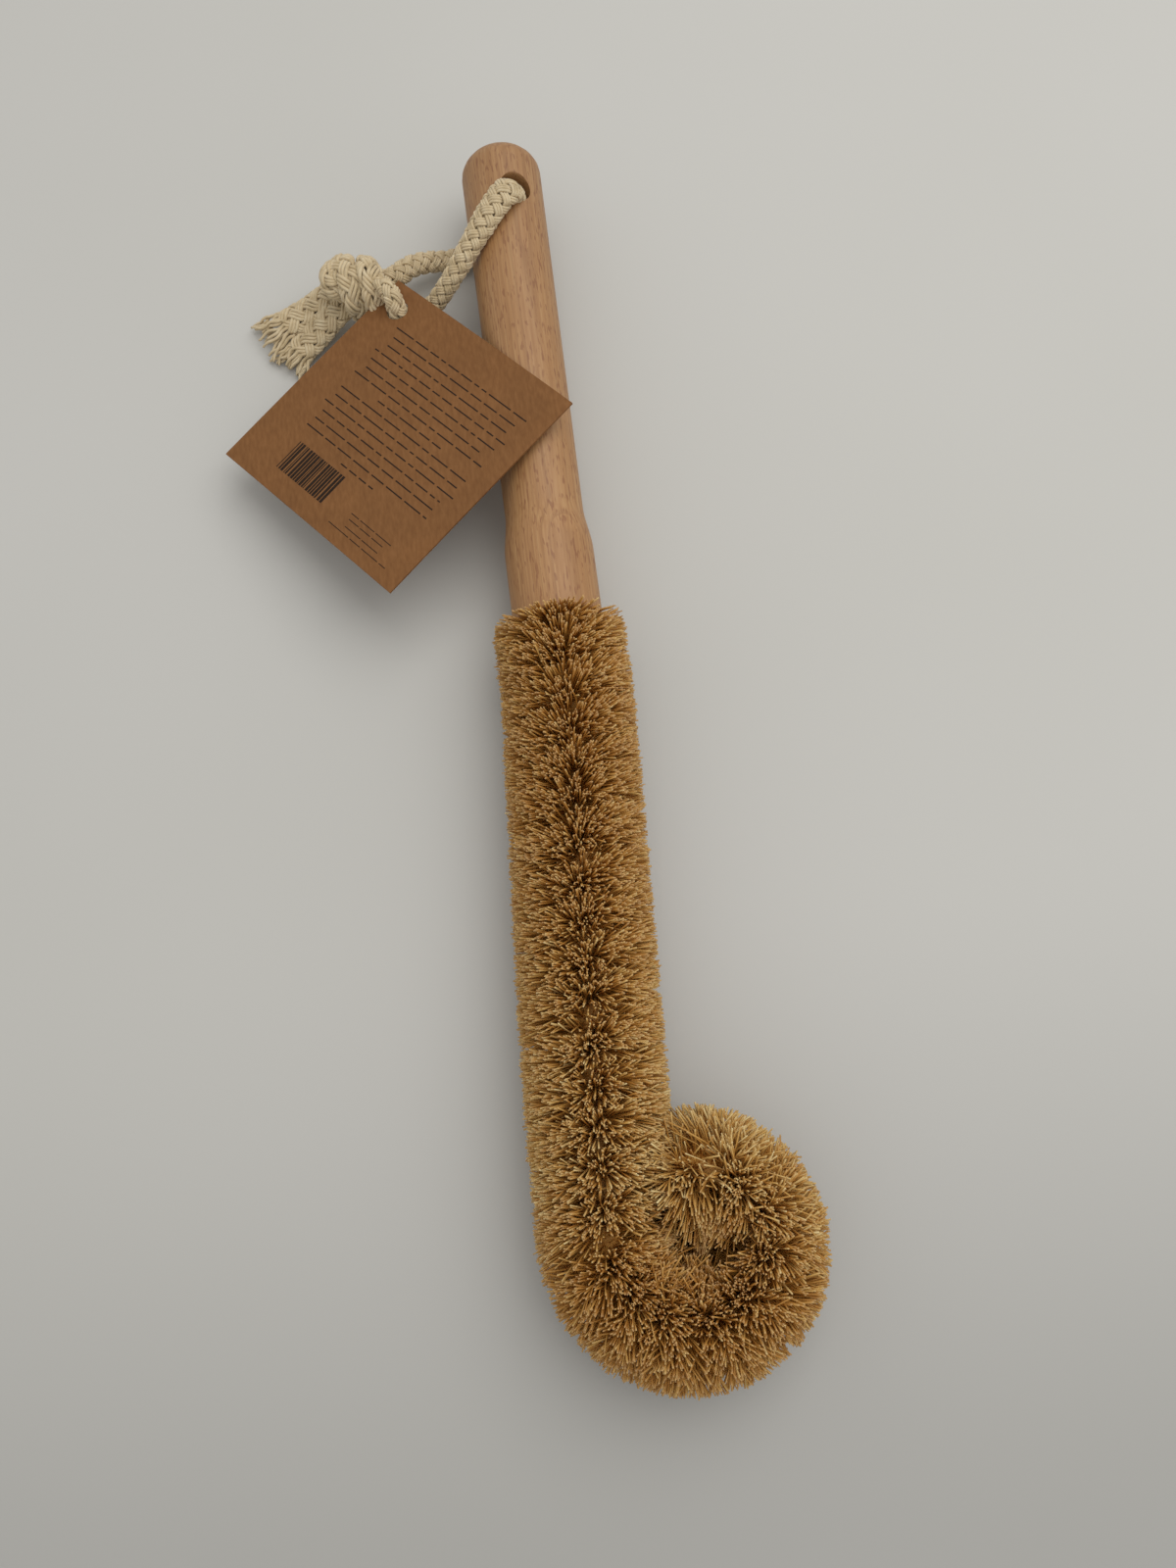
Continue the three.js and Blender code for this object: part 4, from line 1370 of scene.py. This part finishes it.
def pressed_paths(rows):
    count = len(rows["s"])
    share, in_gap = meeting_share(rows)
    reach = rows["out"][:, 2]
    met = share < 1
    longer = np.where(in_gap, -CRESCENT_GAP, fibre_rng.uniform(*MEETING_OVERLAPS, count)) / reach
    stop = np.where(met, np.clip(share + longer, LEAST_SHARE, 1), 1.0)
    steps = np.linspace(0, 1, FIBRE_BENDS)
    paths = fibre_places(rows, steps[None] * stop[:, None])
    lost = np.where(met & ~in_gap, np.clip((1 - stop) * reach, 0, MOST_PRESSED), 0)
    upward = np.sign(np.sin(rows["turn"][:, 0]))
    rise = lost * upward * fibre_rng.uniform(*PRESSED_UP, count)
    aside = lost[:, None] * fibre_rng.normal(0, PRESSED_ASIDE, (count, 2))
    late = steps**PRESSED_LATE
    paths[..., 2] += rise[:, None] * late
    paths[..., :2] += aside[:, None] * late[:, None]
    paths[..., 2] = np.maximum(paths[..., 2], FLOOR + TIP_LYING)
    return paths


# %% [markdown]
# Each length of bristles is built in two pieces, to keep a piece's mesh small. The fibres are drawn about
# half a millimetre thick, a little coarser than real ones, so that they show and fewer of them fill the
# brush. Each has three sides only. A tube along the stem fills the dense middle. The tone drifts along
# the brush, partly as the fibres' own tone and partly as painted light that lightens the lower shank.
# The inner side of the curl is darker, painted shade for the hollow of the curl.

# %% Shades of the fibres
# Tone along the brush: partly the fibres' own tone, partly painted light that lightens the lower shank.
SHADE_PLACES = (60, 150, 175, 215, 250)
TONE_AND_LIGHT_KEYS = (0.45, 0.66, 0.44, 0.5, 0.74)
SHADE_SCATTER = 0.14
KEY_RANGE = (0.01, 0.99)
PAINTED_CURL_SHADE = 0.35
PAINTED_CURL_SHADE_PLACES = (190, 215)


def fibre_shades(rows):
    root_s, turn = rows["s"][:, 0], rows["turn"][:, 0]
    tone_and_light_key = np.interp(root_s, SHADE_PLACES, TONE_AND_LIGHT_KEYS)
    # Painted shade: fibres on the inner side of the curl are darkened, as shade in the curl's hollow.
    inward = np.clip(np.cos(turn), 0, 1) * np.interp(root_s, PAINTED_CURL_SHADE_PLACES, (0, 1))
    keys = tone_and_light_key - PAINTED_CURL_SHADE * inward + fibre_rng.normal(0, SHADE_SCATTER, len(turn))
    return np.clip(keys, *KEY_RANGE)


# %% Bristle pieces
FIBRE_RADIUS = 0.27
FIBRE_SIDES = 3
FIBRE_THICKNESSES = (0.75, 1.25)
FIBRE_TAPER = 0.85
CORE_PLACES = (CURL_START, CURL_START + 15)
CORE_RADII = (6.0, 4.5)
CORE_STEP = 1.0
CORE_KEY = 0.4
CORE_SHARE = 0.2
BRISTLE_END = STEM_LENGTH - 1.5


def bristle_piece(name, node_name, start, end):
    rows = fibre_rows(start, end)
    paths = pressed_paths(rows)
    thick = FIBRE_RADIUS * fibre_rng.uniform(*FIBRE_THICKNESSES, len(paths))
    radii = thick[:, None] * np.linspace(1, FIBRE_TAPER, FIBRE_BENDS)
    facing = np.broadcast_to(unit(fibre_rng.normal(0, 1, (len(paths), 1, 3))), paths.shape)
    fibres = tubes(paths, radii, FIBRE_SIDES, facing, fibre_shades(rows))
    core_s = np.arange(start, end + CORE_STEP, CORE_STEP)
    core_side = spoke(core_s, np.zeros_like(core_s))
    core_radii = np.interp(core_s, CORE_PLACES, CORE_RADII)
    core_path = stem_place(core_s)[None]
    packed = tubes(core_path, core_radii[None], CORE_SIDES, core_side[None], np.array([CORE_KEY]))
    packed["OFBake"][:, 1] = CORE_SHARE
    piece = strand_piece(name, [fibres, packed], coir)
    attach(piece, "brush")
    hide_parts(node_name)


node_ends = [BRISTLE_START, CURL_START / 2, CURL_START, CURL_START + CURL_LENGTH / 2, BRISTLE_END]
for part, start, end in zip(("shank_upper", "shank_lower", "bend", "curl"), node_ends, node_ends[1:]):
    half = (start + end) / 2
    bristle_piece("coir_%s_1" % part, "bristles_" + part, start, half)
    bristle_piece("coir_%s_2" % part, "bristles_" + part, half, end)

# %% [markdown]
# ## Table and light
# The table is a plain pale grey sheet, with painted shade that darkens it towards its near end. Most of
# the light is an even overcast from all round, and one large soft lamp stands to the upper right, so
# shadows fall softly to the lower left. Together they light a surface that faces up at about one, so a
# colour renders as it is written. The table and the lamp are placed in metres.

# %% Floor
FLOOR_SIZE = 6
bpy.ops.object.select_all(action="DESELECT")
bpy.ops.mesh.primitive_plane_add(size=FLOOR_SIZE, location=(0, 0, 0))
floor = bpy.context.object
floor.name = floor.data.name = "floor"
paper, paper_shader = new_material("pale_table")
paper_place = add_node(paper, "ShaderNodeTexCoord")
paper_mottle = add_node(
    paper, "ShaderNodeTexNoise", {"Vector": paper_place.outputs["Object"], "Scale": 4.0, "Detail": 2.0},
)
paper_tone = add_node(
    paper, "ShaderNodeValToRGB", {"Fac": paper_mottle.outputs["Fac"]},
    stops=((0.3, "#c1bfb8"), (0.7, "#c5c3bd")),
)
paper_axes = add_node(paper, "ShaderNodeSeparateXYZ", {"Vector": paper_place.outputs["Object"]})
# Painted shade: the table's colour is darkened towards its near end.
painted_near_shade = add_node(
    paper, "ShaderNodeMapRange",
    {"Value": paper_axes.outputs["Y"], "From Min": -0.25, "From Max": -0.05, "To Min": 0.74, "To Max": 1.0},
    interpolation_type="SMOOTHSTEP",
)
paper_colour = add_node(
    paper, "ShaderNodeMix", {0: 1.0, 6: paper_tone.outputs["Color"], 7: painted_near_shade.outputs[0]},
    data_type="RGBA", blend_type="MULTIPLY",
)
fill_sockets(paper, paper_shader, {"Base Color": paper_colour.outputs[2], "Roughness": 0.7})
dress(floor.data, paper)

# %% Lamp and world
LAMP_PLACE = Vector((0.32, 0.26, 0.86)) * 0.97
LAMP_SIZE = 0.85
LAMP_POWER = 4.1
SKY_STRENGTH = 0.62
lamp_data = bpy.data.lights.new("lamp", "AREA")
lamp_data.shape = "SQUARE"
lamp_data.size = LAMP_SIZE
lamp_data.energy = LAMP_POWER
lamp = bpy.data.objects.new("lamp", lamp_data)
lamp.location = LAMP_PLACE
lamp.rotation_euler = LAMP_PLACE.to_track_quat("Z", "Y").to_euler()
bpy.context.collection.objects.link(lamp)
world = bpy.data.worlds.new("overcast")
world.use_nodes = True
fill_sockets(world, world.node_tree.nodes["Background"], {
    "Color": linear("#ffffff"), "Strength": SKY_STRENGTH,
})
bpy.context.scene.world = world
bpy.context.scene.view_settings.view_transform = "Standard"
print("lamp %.2f m from the brush" % LAMP_PLACE.length)
